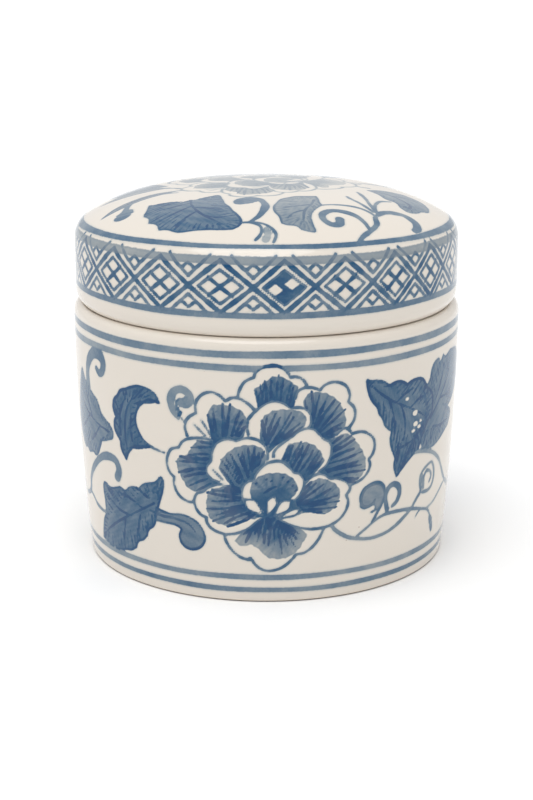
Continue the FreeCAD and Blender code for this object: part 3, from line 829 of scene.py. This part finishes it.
VINES = [   # points, width, tone, share of the width at each end
    ("-26.2,55.9 -28,58 -28.6,61 -27.5,63.7 -25,64.6 -22.8,63.5 -22.3,61.8 -23.5,60.5 -25.2,60.7",
     2.5, 0.40, (0.6, 1.0)),
    ("-23.2,61.8 -24.4,60.9", 2.2, 0.42, (1, 0.8)),
    ("-25.8,57.6 -26.8,59.6 -26.2,61.4", 1.0, 0.6, (0.9, 0.7)),
    ("-26.6,56.2 -25.5,57.6", 1.6, 0.85, (0.5, 0.7)),
    ("-25.4,56.2 -24.4,55", 0.6, 0.5, (1, 1)),
    ("-40,47.2 -38.5,46.6 -35,45.3 -31.3,44.6", 0.9, 0.55, (1, 0.7)),
    ("-67,56 -67.4,62 -66,66 -63,68.8 -60,69.8 -57.5,69 -56.3,67 -57,64.7 -58.8,63.7 -60.5,64.8",
     3.5, 0.55, (0.8, 0.6)),
    ("-51.6,32.8 -50.9,34 -50.6,35.8 -52,38 -55,38.5 -58.5,37.8 -62,36 -66,33 -69,30"
     " -71,27 -72,24 -74,22 -78,20.5", 2.1, 0.48, (1.5, 0.5)),
    ("-72,22.5 -69.5,21.5 -67,20 -63,19.2 -60,19.2", 1.2, 0.5, (1, 1)),
    ("50,41 54,40.6 58,39.6 62,37.8 66,35 69,31.5 72,28 75,25.5 79,23", 1.3, 0.36, (1, 0.8)),
    ("20,23.3 21.5,21.6 25,19.3 29,18 34,17.3 39,17.8 43,19 47,21 50.5,23 53,25.5 55,27.5",
     1.2, 0.42, (1, 0.7)),
    ("28.5,18.9 32,21 35,22.8 38.5,23.9 43,23.9 48,23.4 52,22.6 56,21.5 60,20.3 62,18.5 63.5,16.5",
     1.1, 0.48, (0.8, 0.8)),
    ("62.5,17.5 64,15 65.2,12", 2.4, 0.5, (0.5, 0.6)),
    ("56,21.5 54.2,20.6 53.2,19.4", 0.7, 0.5, (1, 0.4)),
    ("60,20.6 64,21.5 68,23.3 72,25 76,25.5 80,23.5", 1.0, 0.3, (1, 0.8)),
    ("34,22.5 35.5,25 37,27.5 38,30 37.5,33 35.5,34.5 33,34.5 30.5,33.3 29.4,31 29.8,28.8 31.5,27.8"
     " 33.5,28.3 34.5,29.5", 1.3, 0.62, (0.8, 0.8)),
    ("34.5,26 33,25.6", 0.8, 0.6, (1, 0.5)),
    ("35,24 33.8,23", 0.8, 0.6, (1, 0.5)),
    ("39.5,25 38.5,29 39,31.5 41,33 43.5,32 44.3,29.5 43.2,27 41.5,26", 1.8, 0.52, (0.8, 0.8)),
    ("51,23.5 53,25.6 55,27.5 54.3,30 54.3,32.5 56,34.2 59,35.3 61,35.2 62.5,33 63,30 61.8,27.5"
     " 59.5,26.6 56,26.9", 1.1, 0.42, (1, 1)),
    ("56,31 57.5,33.2 59.8,32.8 61,31 60,29.2", 1.1, 0.42, (0.8, 0.7)),
    ("54.8,33 56,30.5 56.5,28", 1.8, 0.36, (0.7, 0.5)),
]
BUDS = [    # outline, tone of the wash, tone of the outline
    ("-35.3,26.5 -32.3,25.9 -30,25.6 -27,26 -24,25.6 -21,24 -19.3,21.3 -19,19 -20.3,16.8 -22.5,15.7"
     " -25,15.8 -26.8,17.3 -27.2,19.5 -26.5,21.3 -27,22 -29,22.7 -32,22.7 -36,22.8", 0.5, 0.85),
    ("29.4,28.2 29.3,31 30.6,33.6 33.2,34.6 36,34 37.6,32.3 37.9,29.6 36.8,27.6 35.2,26.2 34.4,28.2"
     " 32.4,27.6 30.6,27.4", 0.40, 0.55),
]
# x, y and half the width of the small bare patches on the right-hand leaves
WHITE_SPOTS = ((49.5, 53.5, 1.3), (50, 50, 1.2), (49, 48, 0.9), (51.8, 48.8, 0.9), (52.5, 50.5, 0.8),
               (45.5, 58.5, 0.9))
print("round it:", len(LEAVES), "leaves,", len(VINES), "vines and", len(BUDS), "buds")


def panel(brush):
    peony(brush)
    for shape in LEAVES:
        leaf(brush, **shape)
    for edge, tone, line in BUDS:
        ring = outline_of(edge)
        brush.fill(ring, tone)
        brush.stroke(closed(ring), 0.85, line, soft=False)
    brush.lines("-38,25.5 -33,24.6 -28,24.4 -24,23.4 -21.6,20.8", 1.0, 0.8, (0.9, 0.5))
    for text, width, tone, ends in VINES:
        brush.lines(text, width, tone, ends)
    for x, y, size in WHITE_SPOTS:
        turn = np.linspace(0, 6, 12)
        brush.clear(np.stack([x + size * np.cos(turn), y + size * 0.7 * np.sin(turn)], 1))


# %% [markdown]
# ## Round the wall
# Decorators repeat a panel to fill a wall. The same panel is painted at the front and at the back,
# each on its own half of the unrolled wall, and a small sprig closes the gap at each side.

# %% A sprig that fills the gap between two panels
SPRIG_LEAF = dict(edge="-3,44 -6,46 -8,49 | -7.5,53 -9,56 -7,60 | -4.5,62 -2,66 1,69 | 3,65 5.5,62 6,58"
                       " | 8,55 6.5,51 6,48 | 3.5,45 -3,44",
                  ribs=("0,44 -0.5,51 0.5,58 1,66", "-0.5,50 -4,53 -6.5,54", "0,54 3,56 5,56.5",
                        "0.5,59 -3,61", "-0.3,48 3,49 5,50"), tone=0.6)
SPRIG_VINES = [("-14.5,23 -10,26 -6,30 -3,36 -1,44", 1.2, 0.42, (0.8, 0.9)),
               ("16,20.5 11,23 6,24 1,22 -4,19 -8,17 -11,18.5 -11.5,21.5 -9.5,22.8", 1.2, 0.45, (0.7, 1.1)),
               ("-5,32 0,33.5 4.5,36.5 6.5,40 4.5,42.5 2.5,41", 1.3, 0.5, (0.7, 1.2)),
               ("3.5,23.8 6,28 9.5,31 11.5,34.5 9.5,37 7.5,35.5", 1.3, 0.48, (0.6, 1.2))]


def sprig(brush):
    leaf(brush, **SPRIG_LEAF)
    for text, width, tone, ends in SPRIG_VINES:
        brush.lines(text, width, tone, ends)


# %% The wall: the panel at the front and again at the back
ROUND = 60.0                          # mm of wall for each radian, at the widest place
PANEL = math.pi * ROUND               # mm between the two flowers
wall_rows = np.nonzero(body_wall)[0]
for paint, shift in ((panel, PANEL / 2), (sprig, 0)):      # the flowers, then what is between them
    half_x = (body_angle * ROUND + shift) % PANEL - PANEL / 2
    paint(Brush(body_coats, half_x, body_spots[:, 2], wall_rows))
for name, (gaps, _) in body_coats.items():
    print("body", name, "covers", round(float((gaps[wall_rows] < 0).mean() * 100), 1), "% of the wall")
# %% [markdown]
# ## The lattice round the lid
# The lid's side carries a band of diamonds, each with a smaller diamond and a cross inside. The
# front ones differ a little in width, as ruled by eye, so their places are a list. The rest of
# the ring is divided evenly. Where two diamonds meet, a small chevron sits above and below. One
# cell at the front was filled with paint by a slip of the brush, with two bare patches left in it.

# %% One cell of the lattice, and one crossing
MIDLINE = 95.0                        # height at which the cells are widest
WIDE_TOP, WIDE_LOW = 102.6, 87.7      # heights of the outer diamond's upper and lower points
SMALL_TOP, SMALL_LOW = 99.9, 90.1
CROSS_TOP, CROSS_LOW = 97.5, 92.5


def cell(brush, left, right, broken=False):
    c = (left + right) / 2
    inner = (right - left) / 2 * 0.68
    wide = ((left, MIDLINE), (c, WIDE_TOP), (right, MIDLINE), (c, WIDE_LOW), (left, MIDLINE))
    small = ((c - inner, MIDLINE), (c, SMALL_TOP), (c + inner, MIDLINE), (c, SMALL_LOW),
             (c - inner, MIDLINE))
    for ring, width, tone in ((wide, 1.4, 0.68), (small, 0.95, 0.60)):
        for a, b in zip(ring, ring[1:]):
            brush.stroke((a, b), width, tone * dice.uniform(0.85, 1.15), (0.9, 0.9), soft=False)
    if broken:
        brush.fill(np.array(small[:4]), 0.75)
        for x, y in ((c - 2.6, 94.4), (c + 2.1, 96.0)):
            brush.clear(np.array([(x - 2.3, y), (x, y + 1.7), (x + 2.3, y), (x, y - 1.7)]))
        return
    for cross in (inner * 0.52, -inner * 0.52):
        path = ((c - cross, CROSS_TOP), (c + cross, CROSS_LOW))
        brush.stroke(path, 1.15, 0.78 * dice.uniform(0.9, 1.1), soft=False)


def crossing(brush, x):
    """The lines that spread from where two cells meet, and a chevron above and below."""
    for out, start, end, width in ((-6.4, 97.7, 103.7, 1.05), (6.4, 97.7, 103.7, 1.05),
                                   (-5.8, 92.5, 87.4, 1.0), (5.8, 92.5, 87.4, 1.0)):
        brush.stroke(((x, start), (x + out, end)), width, 0.55 * dice.uniform(0.9, 1.1), soft=False)
    for foot, peak in ((99.8, 101.6), (90.4, 88.7)):
        brush.stroke([(x - 2.1, foot), (x, peak), (x + 2.1, foot)], 0.95, 0.6, soft=False)


# %% The whole ring of them, with its two bands
LID_TURN = 2 * math.pi * ROUND
SIDE_REACH = 107.0                    # height up to which the lattice's strokes may reach
side_rows = np.nonzero((lid_along >= lid_from) & (lid_spots[:, 2] < SIDE_REACH) & (lid_along < lid_to))[0]
side_x = (lid_angle * ROUND + 80) % LID_TURN - 80
side_brush = Brush(lid_coats, side_x, lid_spots[:, 2], side_rows)
crossings = [-60, -41.3, -22.8, -3.7, 14, 32, 48.5, 64.5]      # the front ones
BACK_CELLS = 14
BROKEN_AT = 5                         # the blotted cell's middle is within 1 mm of here
gap_at_back = crossings[0] + LID_TURN - crossings[-1]
crossings += [crossings[-1] + gap_at_back * k / BACK_CELLS for k in range(1, BACK_CELLS)]
lid_height = np.where(lid_along >= lid_from, lid_spots[:, 2], NOWHERE)
band(lid_coats, lid_angle, lid_height, 87.0, 1.8, 0.5)
band(lid_coats, lid_angle, lid_height, 102.4, 2.3, 0.30, "wash")
for x, following in zip(crossings, crossings[1:] + [crossings[0] + LID_TURN]):
    for turn in (0, -LID_TURN):     # each is painted twice, so the one across the seam is whole
        broken = abs((x + following) / 2 - BROKEN_AT) < 1
        cell(side_brush, x + turn, following + turn, broken)
        crossing(side_brush, x + turn)
print("lattice:", len(crossings), "cells")

# %% [markdown]
# ## The lid's crown
# Leaves and curls walk round the edge of the crown, inside one ruled ring, and a second peony
# fills its middle. They are placed on the flat plan of the lid, x to the right and y away from the
# front. The crown is so flat that paint laid on the plan keeps its shape when it lands on the clay.

# %% Leaves and stems on the crown
CROWN_LOW, RING_LOW = 103.2, 103.4    # heights above which the crown and its ring are painted
crown_rows = np.nonzero((lid_along > side_end) & (lid_spots[:, 2] > CROWN_LOW))[0]
crown_brush = Brush(lid_coats, lid_spots[:, 0], lid_spots[:, 1], crown_rows)
crown_radius = np.hypot(lid_spots[:, 0], lid_spots[:, 1])
ring_rows = (lid_spots[:, 2] > RING_LOW) & (lid_along >= lid_from)
crown_height = np.where(ring_rows, crown_radius, NOWHERE)
crown_height -= 1.3 * np.sin(lid_angle) ** 2      # the ring runs a little wide at the sides
band(lid_coats, lid_angle, crown_height, 55.75, 1.6, 0.54)
CROWN_LEAVES = [
    dict(edge="-34.5,-22.5 -33,-23.5 -30,-25 | -27,-24 -25,-25 | -22,-23 -19,-22.3 -16.5,-21.5"
              " -15.5,-18.5 -14.3,-18.3 -13.7,-21 -13,-25 -12.3,-29 -11,-32.5 -10,-36 -8.5,-39.5"
              " -7.3,-43.5 -7.8,-46 -9.5,-47.5 | -12.5,-47.3 -16,-46.5 -20,-45.8 | -25,-45 -28,-42.5"
              " -30.5,-41.5 | -31.5,-38 -33.8,-36 | -34,-33 -35.5,-30.5 -35,-27 -34.5,-22.5",
         ribs=("-22.5,-22.5 -21.5,-30 -18,-38 -12,-45", "-21.5,-29 -26,-33 -31,-37",
               "-20,-34 -24,-39 -26,-43", "-20.5,-31 -16,-33 -13,-34", "-22,-26 -27,-28 -31,-29",
               "-18,-38 -15,-40 -12,-40.5"), tone=0.58),
    dict(edge="7,-22 9,-20.5 12,-20 14.5,-19.5 | 15,-23 15.3,-27 16,-30 | 14.5,-33 13,-37 12.5,-41"
              " | 13,-44.5 13.7,-48 12,-48.2 10,-47.7 | 8.5,-46 6,-45.8 4.5,-45 | 3.8,-41 2.5,-37.5"
              " 2.3,-33 3.3,-28.5 4.5,-24.5 7,-22",
         ribs=("14,-24 13,-30 11,-36 10.5,-44", "12.5,-30 9,-32 5,-34", "11.5,-35 8,-38 6,-42"),
         tone=0.38, line=0.6, rib=0.75),
    dict(edge="31,-4 35,-2 42,-1 | 47,-4 49,-9 | 48.5,-14 46,-17 | 44.5,-20 42,-22 40,-20"
              " | 39,-16 36,-14 34,-9 31,-4", ribs=("33,-5 38,-8 43,-14 42,-20", "38,-8 43,-6 46,-6"),
         tone=0.45, line=0.6),
    dict(edge="-27,-7 -33,-8.5 -39,-11.5 -45,-15 -49,-19.5 | -44,-17.5 -38,-14.5 -32,-11 -27,-7",
         ribs=("-29,-8 -37,-12 -46,-17",), tone=0.3, line=0.6, width=0.8),
    dict(edge="-30,0 -36,2.8 -43,3 -51,-1.5 | -44,-3 -37,-2.5 -30,0",
         ribs=("-32,0 -40,0.6 -49,-1",), tone=0.3, line=0.6, width=0.8),
]
CROWN_VINES = [
    ("-5.5,-26.3 -7.6,-29 -8.2,-27 -7.5,-24.5 -5,-23 -2.3,-24.5 -1,-28 -0.3,-32 -0.8,-36.5 -2.2,-41"
     " -4.5,-44.3", 2.4, 0.6, (1.2, 0.5)),
    ("-6.2,-28.2 -4.6,-25.9", 4.6, 0.55, (0.8, 1)),
    ("-7,-44.5 -4.5,-44.8 -2,-46.5 -1.3,-49 -2,-51.5 -3,-53", 1.0, 0.55, (1, 1)),
    ("-4,-44.6 -1,-45.5 1.5,-48 2.7,-51 2,-54", 1.0, 0.55, (1, 1)),
    ("-0.2,-48 0.4,-50.5 -0.2,-53", 2.2, 0.28, (0.6, 1)),
    ("16,-30 19,-28.8 23,-28.3 27,-29 30,-31 31.8,-33.3", 1.3, 0.5, (0.8, 1)),
    ("21,-39.5 20.8,-42.5 18.5,-43.3 16.3,-41 16.2,-37.5 18.5,-34.5 22,-34 25.5,-35.5 28,-38.5"
     " 29.5,-42", 2.4, 0.55, (1.1, 0.5)),
    ("31.5,-34 31.7,-38 30,-42 27.5,-46 26.3,-48.5", 1.6, 0.5, (1, 0.7)),
    ("32,-30 31.8,-26 32.5,-22 34,-18.5 37,-16.5", 1.2, 0.45, (1, 0.7)),
    ("31,-30 28,-25 25,-20 24,-17", 1.2, 0.45, (1, 0.7)),
    ("32,-30 30.5,-24 29.5,-18 28.5,-13 27.5,-9", 1.2, 0.45, (1, 0.7)),
    ("32.3,-32 34,-29 37,-27 40.5,-26.3 43.5,-28.5 44,-31.5 43,-34", 2.8, 0.5, (0.5, 0.7)),
    ("-21,-9.5 -25,-7 -29,-7.6", 1.2, 0.45, (1, 1)),
    ("-26,-4 -28.5,-1.5 -31.5,-0.2", 1.2, 0.45, (1, 1)),
    ("-27,-10 -33,-10.5 -38,-11.5 -41,-16 -42,-21", 2.0, 0.45, (0.5, 1)),
    ("-42.4,-25.2 -41.6,-22.8", 5.2, 0.55, (0.9, 1)),
]
far_brush = Brush(lid_coats, -lid_spots[:, 0], -lid_spots[:, 1], crown_rows)
for brush in (far_brush, crown_brush):      # the same spray, turned half round, fills the far side
    for text, width, tone, ends in CROWN_VINES:
        brush.lines(text, width, tone, ends)
    for shape in CROWN_LEAVES[:3] if brush is far_brush else CROWN_LEAVES:
        leaf(brush, **shape)

# %% The second peony, a little smaller than the one on the wall
FLOWER_SIZE, FLOWER_TURN = 0.95, math.radians(80)
right, away = lid_spots[:, 0] + 1.0, lid_spots[:, 1] - 8.0
flower_x = (right * math.cos(FLOWER_TURN) + away * math.sin(FLOWER_TURN)) / FLOWER_SIZE + 1.0
flower_y = (away * math.cos(FLOWER_TURN) - right * math.sin(FLOWER_TURN)) / FLOWER_SIZE + 41.0
peony(Brush(lid_coats, flower_x, flower_y, crown_rows, load=0.5))
for name, (gaps, _) in lid_coats.items():
    print("lid", name, "covers", round(float((gaps[crown_rows] < 0).mean() * 100), 1), "% of the crown")

# %% [markdown]
# ## Handing the paint to the shader
# The coats become attributes on the mesh, six numbers on each point. One more marks where the
# potter wiped the glaze away, so the pieces don't stick together in the kiln: the foot's rim, the
# seat, and the lid's rim. On the two rims it is full, which also calls for a painted shade colour
# for the gap under the lid and the foot's line on the floor.

# %% Attributes
def store(piece, name, values):
    layer = piece.data.attributes.new(name, "FLOAT", "POINT")
    layer.data.foreach_set("value", np.asarray(values, np.float32))


for piece, coats in ((body, body_coats), (lid, lid_coats)):
    for name, (gaps, tones) in coats.items():
        store(piece, name + "_gap", gaps)
        store(piece, name + "_tone", tones)
SEAT_WIPE = 0.6       # the seat is wiped less clean than a rim
body_r, body_z = np.hypot(body_spots[:, 0], body_spots[:, 1]), body_spots[:, 2]
at_foot = (body_z < 0.5) & (body_r > 52.0)
at_seat = (np.abs(body_z - SEAT) < 0.3) & (body_r > COLLAR_OUT - 0.1) & (body_r < 58)
# At full value (the foot's rim and the lid's rim) the shader also paints shade for the seam and the contact
# line; the seat's lower value keeps it out of that.
store(body, "bare", np.where(at_seat, SEAT_WIPE, 1.0) * (at_foot | at_seat))
store(lid, "bare", lid_spots[:, 2] < SEAT + 0.3)
print("bare points:", int((at_foot | at_seat).sum()), "on the body")

# %% [markdown]
# ## Shader maths as Python
# A wrapper round a socket lets the shader be written as sums. Every operator adds one Math node.

# %% The wrapper
class Wire:
    def __init__(self, tree, socket):
        self.tree, self.socket = tree, socket

    def maths(self, operation, a, b=None, clamp=False):
        return node(self.tree, "ShaderNodeMath", dict(operation=operation, use_clamp=clamp),
                    {0: a} if b is None else {0: a, 1: b})

    def __add__(self, other):
        return self.maths("ADD", self, other)

    def __radd__(self, other):
        return self.maths("ADD", other, self)

    def __sub__(self, other):
        return self.maths("SUBTRACT", self, other)

    def __rsub__(self, other):
        return self.maths("SUBTRACT", other, self)

    def __mul__(self, other):
        return self.maths("MULTIPLY", self, other)

    def __rmul__(self, other):
        return self.maths("MULTIPLY", other, self)

    def max(self, other):
        return self.maths("MAXIMUM", self, other)

    def clamp(self):
        return self.maths("ADD", self, 0.0, clamp=True)

    def below(self, edge, soft):
        """1 where the value is below the edge, easing to 0 over a soft margin."""
        return node(self.tree, "ShaderNodeMapRange", dict(interpolation_type="SMOOTHSTEP"),
                    {0: self, 1: edge - soft, 2: edge + soft, 3: 1.0, 4: 0.0})


def node(tree, kind, settings=None, inputs=None, output=0):
    """Adds a node: its settings first, then the values and links of its sockets."""
    made = tree.nodes.new(kind)
    for key, value in (settings or {}).items():
        if key == "stops":
            while len(made.color_ramp.elements) < len(value):
                made.color_ramp.elements.new(0.5)
            for stop, (place, colour) in zip(made.color_ramp.elements, value):
                stop.position, stop.color = place, colour
        else:
            setattr(made, key, value)
    for key, value in (inputs or {}).items():
        if isinstance(value, Wire):
            tree.links.new(value.socket, made.inputs[key])
        else:
            made.inputs[key].default_value = value
    return Wire(tree, made.outputs[output]) if made.outputs else None


def paint_colour(red, green, blue):
    """A colour as read on a colour card, 0 to 255, made linear."""
    def one(v):
        v /= 255
        return v / 12.92 if v <= 0.04045 else ((v + 0.055) / 1.055) ** 2.4
    return (one(red), one(green), one(blue), 1.0)


# %% [markdown]
# ## Blue under glaze
# Cobalt sinks into the clay and spreads a little in the glaze, so its edges are soft over a few
# tenths of a millimetre, washes pool darker at their rim, and thin paint turns greyish. The three
# coats are joined into one strength, and one ramp turns strength into colour. A picture could hold
# the painting too, but the stored distances stay crisp much closer up. The glaze itself is a warm
# ivory with a few iron specks, smooth, and very slightly wavy. Where it was wiped away, bare
# biscuit shows, which is rougher. The bare rims of the lid and the foot are darker still: grime
# plus painted shade for the gap under the lid and the line where the foot meets the floor.

# %% The glazed porcelain
IVORY = paint_colour(229, 221, 210)
porcelain.use_nodes = True
tree = porcelain.node_tree
tree.nodes.clear()
place = node(tree, "ShaderNodeTexCoord", output="Object")


def noise(scale, detail=2.0, rough=0.5):
    return node(tree, "ShaderNodeTexNoise", {}, {"Vector": place, "Scale": scale, "Detail": detail,
                                                 "Roughness": rough}, output="Fac")


def stored(name):
    return node(tree, "ShaderNodeAttribute", dict(attribute_name=name), output="Fac")


def mix(share, a, b):
    return node(tree, "ShaderNodeMix", dict(data_type="RGBA"), {0: share, 6: a, 7: b}, output=2)


ragged = noise(900.0) - 0.5          # the brush's dry edge
cloud = noise(160.0, 3.0) - 0.5      # paint gathering and thinning
grain = noise(1500.0, 2.0, 0.7) - 0.5
wash_gap = stored("wash_gap") + ragged * 0.5
vein_gap = stored("vein_gap") + ragged * 0.35
line_gap = stored("outline_gap") + ragged * 0.25
pool = wash_gap.below(-0.05, 0.12) - wash_gap.below(-0.55, 0.35)
wash = wash_gap.below(0.0, 0.22) * stored("wash_tone") * (1 + cloud * 0.85 + grain * 0.3) + pool * 0.05
vein = vein_gap.below(0.0, 0.18) * stored("vein_tone") * (1 + cloud * 0.35)
line = line_gap.below(0.0, 0.16) * stored("outline_tone") * (1 + cloud * 0.9 + grain * 0.3)
bleed = line_gap.below(0.25, 0.55) * 0.10          # cobalt creeping into the glaze
strength = wash.max(line).max(vein).max(bleed).clamp()
COBALT = [(0.0, IVORY), (0.12, paint_colour(194, 195, 192)), (0.28, paint_colour(144, 155, 162)),
          (0.45, paint_colour(104, 126, 144)), (0.60, paint_colour(76, 106, 132)),
          (0.72, paint_colour(50, 92, 124)), (0.85, paint_colour(16, 77, 118)),
          (1.0, paint_colour(0, 66, 112))]
colour = node(tree, "ShaderNodeValToRGB", dict(stops=COBALT), {0: strength}, output="Color")
thin = (wash_gap.below(0.0, 0.2) * (0.62 - stored("wash_tone"))).clamp()
colour = mix(thin * 0.9, colour, paint_colour(150, 153, 154))

# %% Iron specks, bare clay where the glaze is wiped away, and painted shade on the bare rims
IRON, BISCUIT = paint_colour(150, 120, 95), paint_colour(222, 206, 184)
RIM_GRIME_AND_SHADE = paint_colour(84, 62, 42)      # grime on a bare rim, darkened further as painted shade for the seam gap and the foot's contact line
specks = node(tree, "ShaderNodeTexVoronoi", {}, {"Vector": place, "Scale": 190.0, "Randomness": 1.0},
              output="Distance")
speck = specks.below(0.035, 0.02) * noise(60.0).below(0.42, 0.03)
colour = mix(speck * 0.7, colour, IRON)
bare = (stored("bare") * (1 + cloud * 0.4)).clamp()
bare_clay_and_rim_shade = mix(noise(420.0, 3.0).below(0.5, 0.3) * 0.35, BISCUIT, IRON)
# Rims with a full bare value turn dark brown: grime plus painted shade for the gap under the lid and the
# line where the foot meets the floor.
bare_clay_and_rim_shade = mix(1 - stored("bare").below(0.8, 0.15), bare_clay_and_rim_shade, RIM_GRIME_AND_SHADE)
colour = mix(bare, colour, bare_clay_and_rim_shade)

# %% The glaze over it all
GLOSS = 0.11                         # roughness of the glaze
waves = noise(34.0, 1.0) * 1.0 + noise(260.0, 2.0) * 0.06
bump = node(tree, "ShaderNodeBump", {}, {"Strength": 0.12, "Distance": 0.0006, "Height": waves})
shader = node(tree, "ShaderNodeBsdfPrincipled", {},
              {"Base Color": colour, "Roughness": bare * 0.5 + GLOSS, "Normal": bump, "IOR": 1.5,
               "Specular IOR Level": 0.42})
node(tree, "ShaderNodeOutputMaterial", {}, {"Surface": shader})
print("porcelain:", len(tree.nodes), "nodes")

# %% [markdown]
# ## Floor, sky and lamp
# A pale floor runs to the horizon under a plain white sky, as in a light tent, with one wide soft
# lamp overhead. White all round is what gives glazed ware its milky reflections. The sky is a
# little dimmer on the camera's side than behind the box, so the front keeps some shape.

# %% Floor
SPREAD = 30.0                        # half the floor's side, in metres
floor_mesh = bpy.data.meshes.new("floor")
corners = [(-SPREAD, -SPREAD, 0), (SPREAD, -SPREAD, 0), (SPREAD, SPREAD, 0), (-SPREAD, SPREAD, 0)]
floor_mesh.from_pydata(corners, [], [(0, 1, 2, 3)])
floor = bpy.data.objects.new("floor", floor_mesh)
scene.collection.objects.link(floor)
pale = bpy.data.materials.new("pale floor")
pale.use_nodes = True
paint = pale.node_tree.nodes["Principled BSDF"]
paint.inputs["Base Color"].default_value = (0.97, 0.97, 0.97, 1)
paint.inputs["Roughness"].default_value = 0.9
floor_mesh.materials.append(pale)
print("floor:", 2 * SPREAD, "m across")

# %% Sky and lamp
sky = bpy.data.worlds.new("white room")
sky.use_nodes = True
air = sky.node_tree
where = node(air, "ShaderNodeTexCoord", output="Generated")
toward = node(air, "ShaderNodeSeparateXYZ", {}, {0: where}, output="Y")
glow = 0.60 - toward.below(-0.45, 0.35) * 0.14 + (toward * 0.22).clamp()
air.nodes["Background"].inputs["Color"].default_value = (1, 1, 1, 1)
air.links.new(glow.socket, air.nodes["Background"].inputs["Strength"])
scene.world = sky
lamp = bpy.data.lights.new("overhead", "SUN")
lamp.energy = 1.75
lamp.angle = math.radians(48)
lamp_holder = bpy.data.objects.new("overhead", lamp)
lamp_holder.rotation_euler = (math.radians(15), math.radians(-6), 0)
scene.collection.objects.link(lamp_holder)
scene.view_settings.view_transform = "Standard"
print("lamp:", lamp.energy, "strong,", round(math.degrees(lamp.angle)), "degrees wide")

# %% [markdown]
# ## Handing the pieces to the frame
# Each painted piece stands in for the plain CAD piece of the same name and moves with it, so when
# the lid is lifted the painted lid goes up too.

# %% Frame calls
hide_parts("box_body")
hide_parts("lid")
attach(body, "box_body")
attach(lid, "lid")
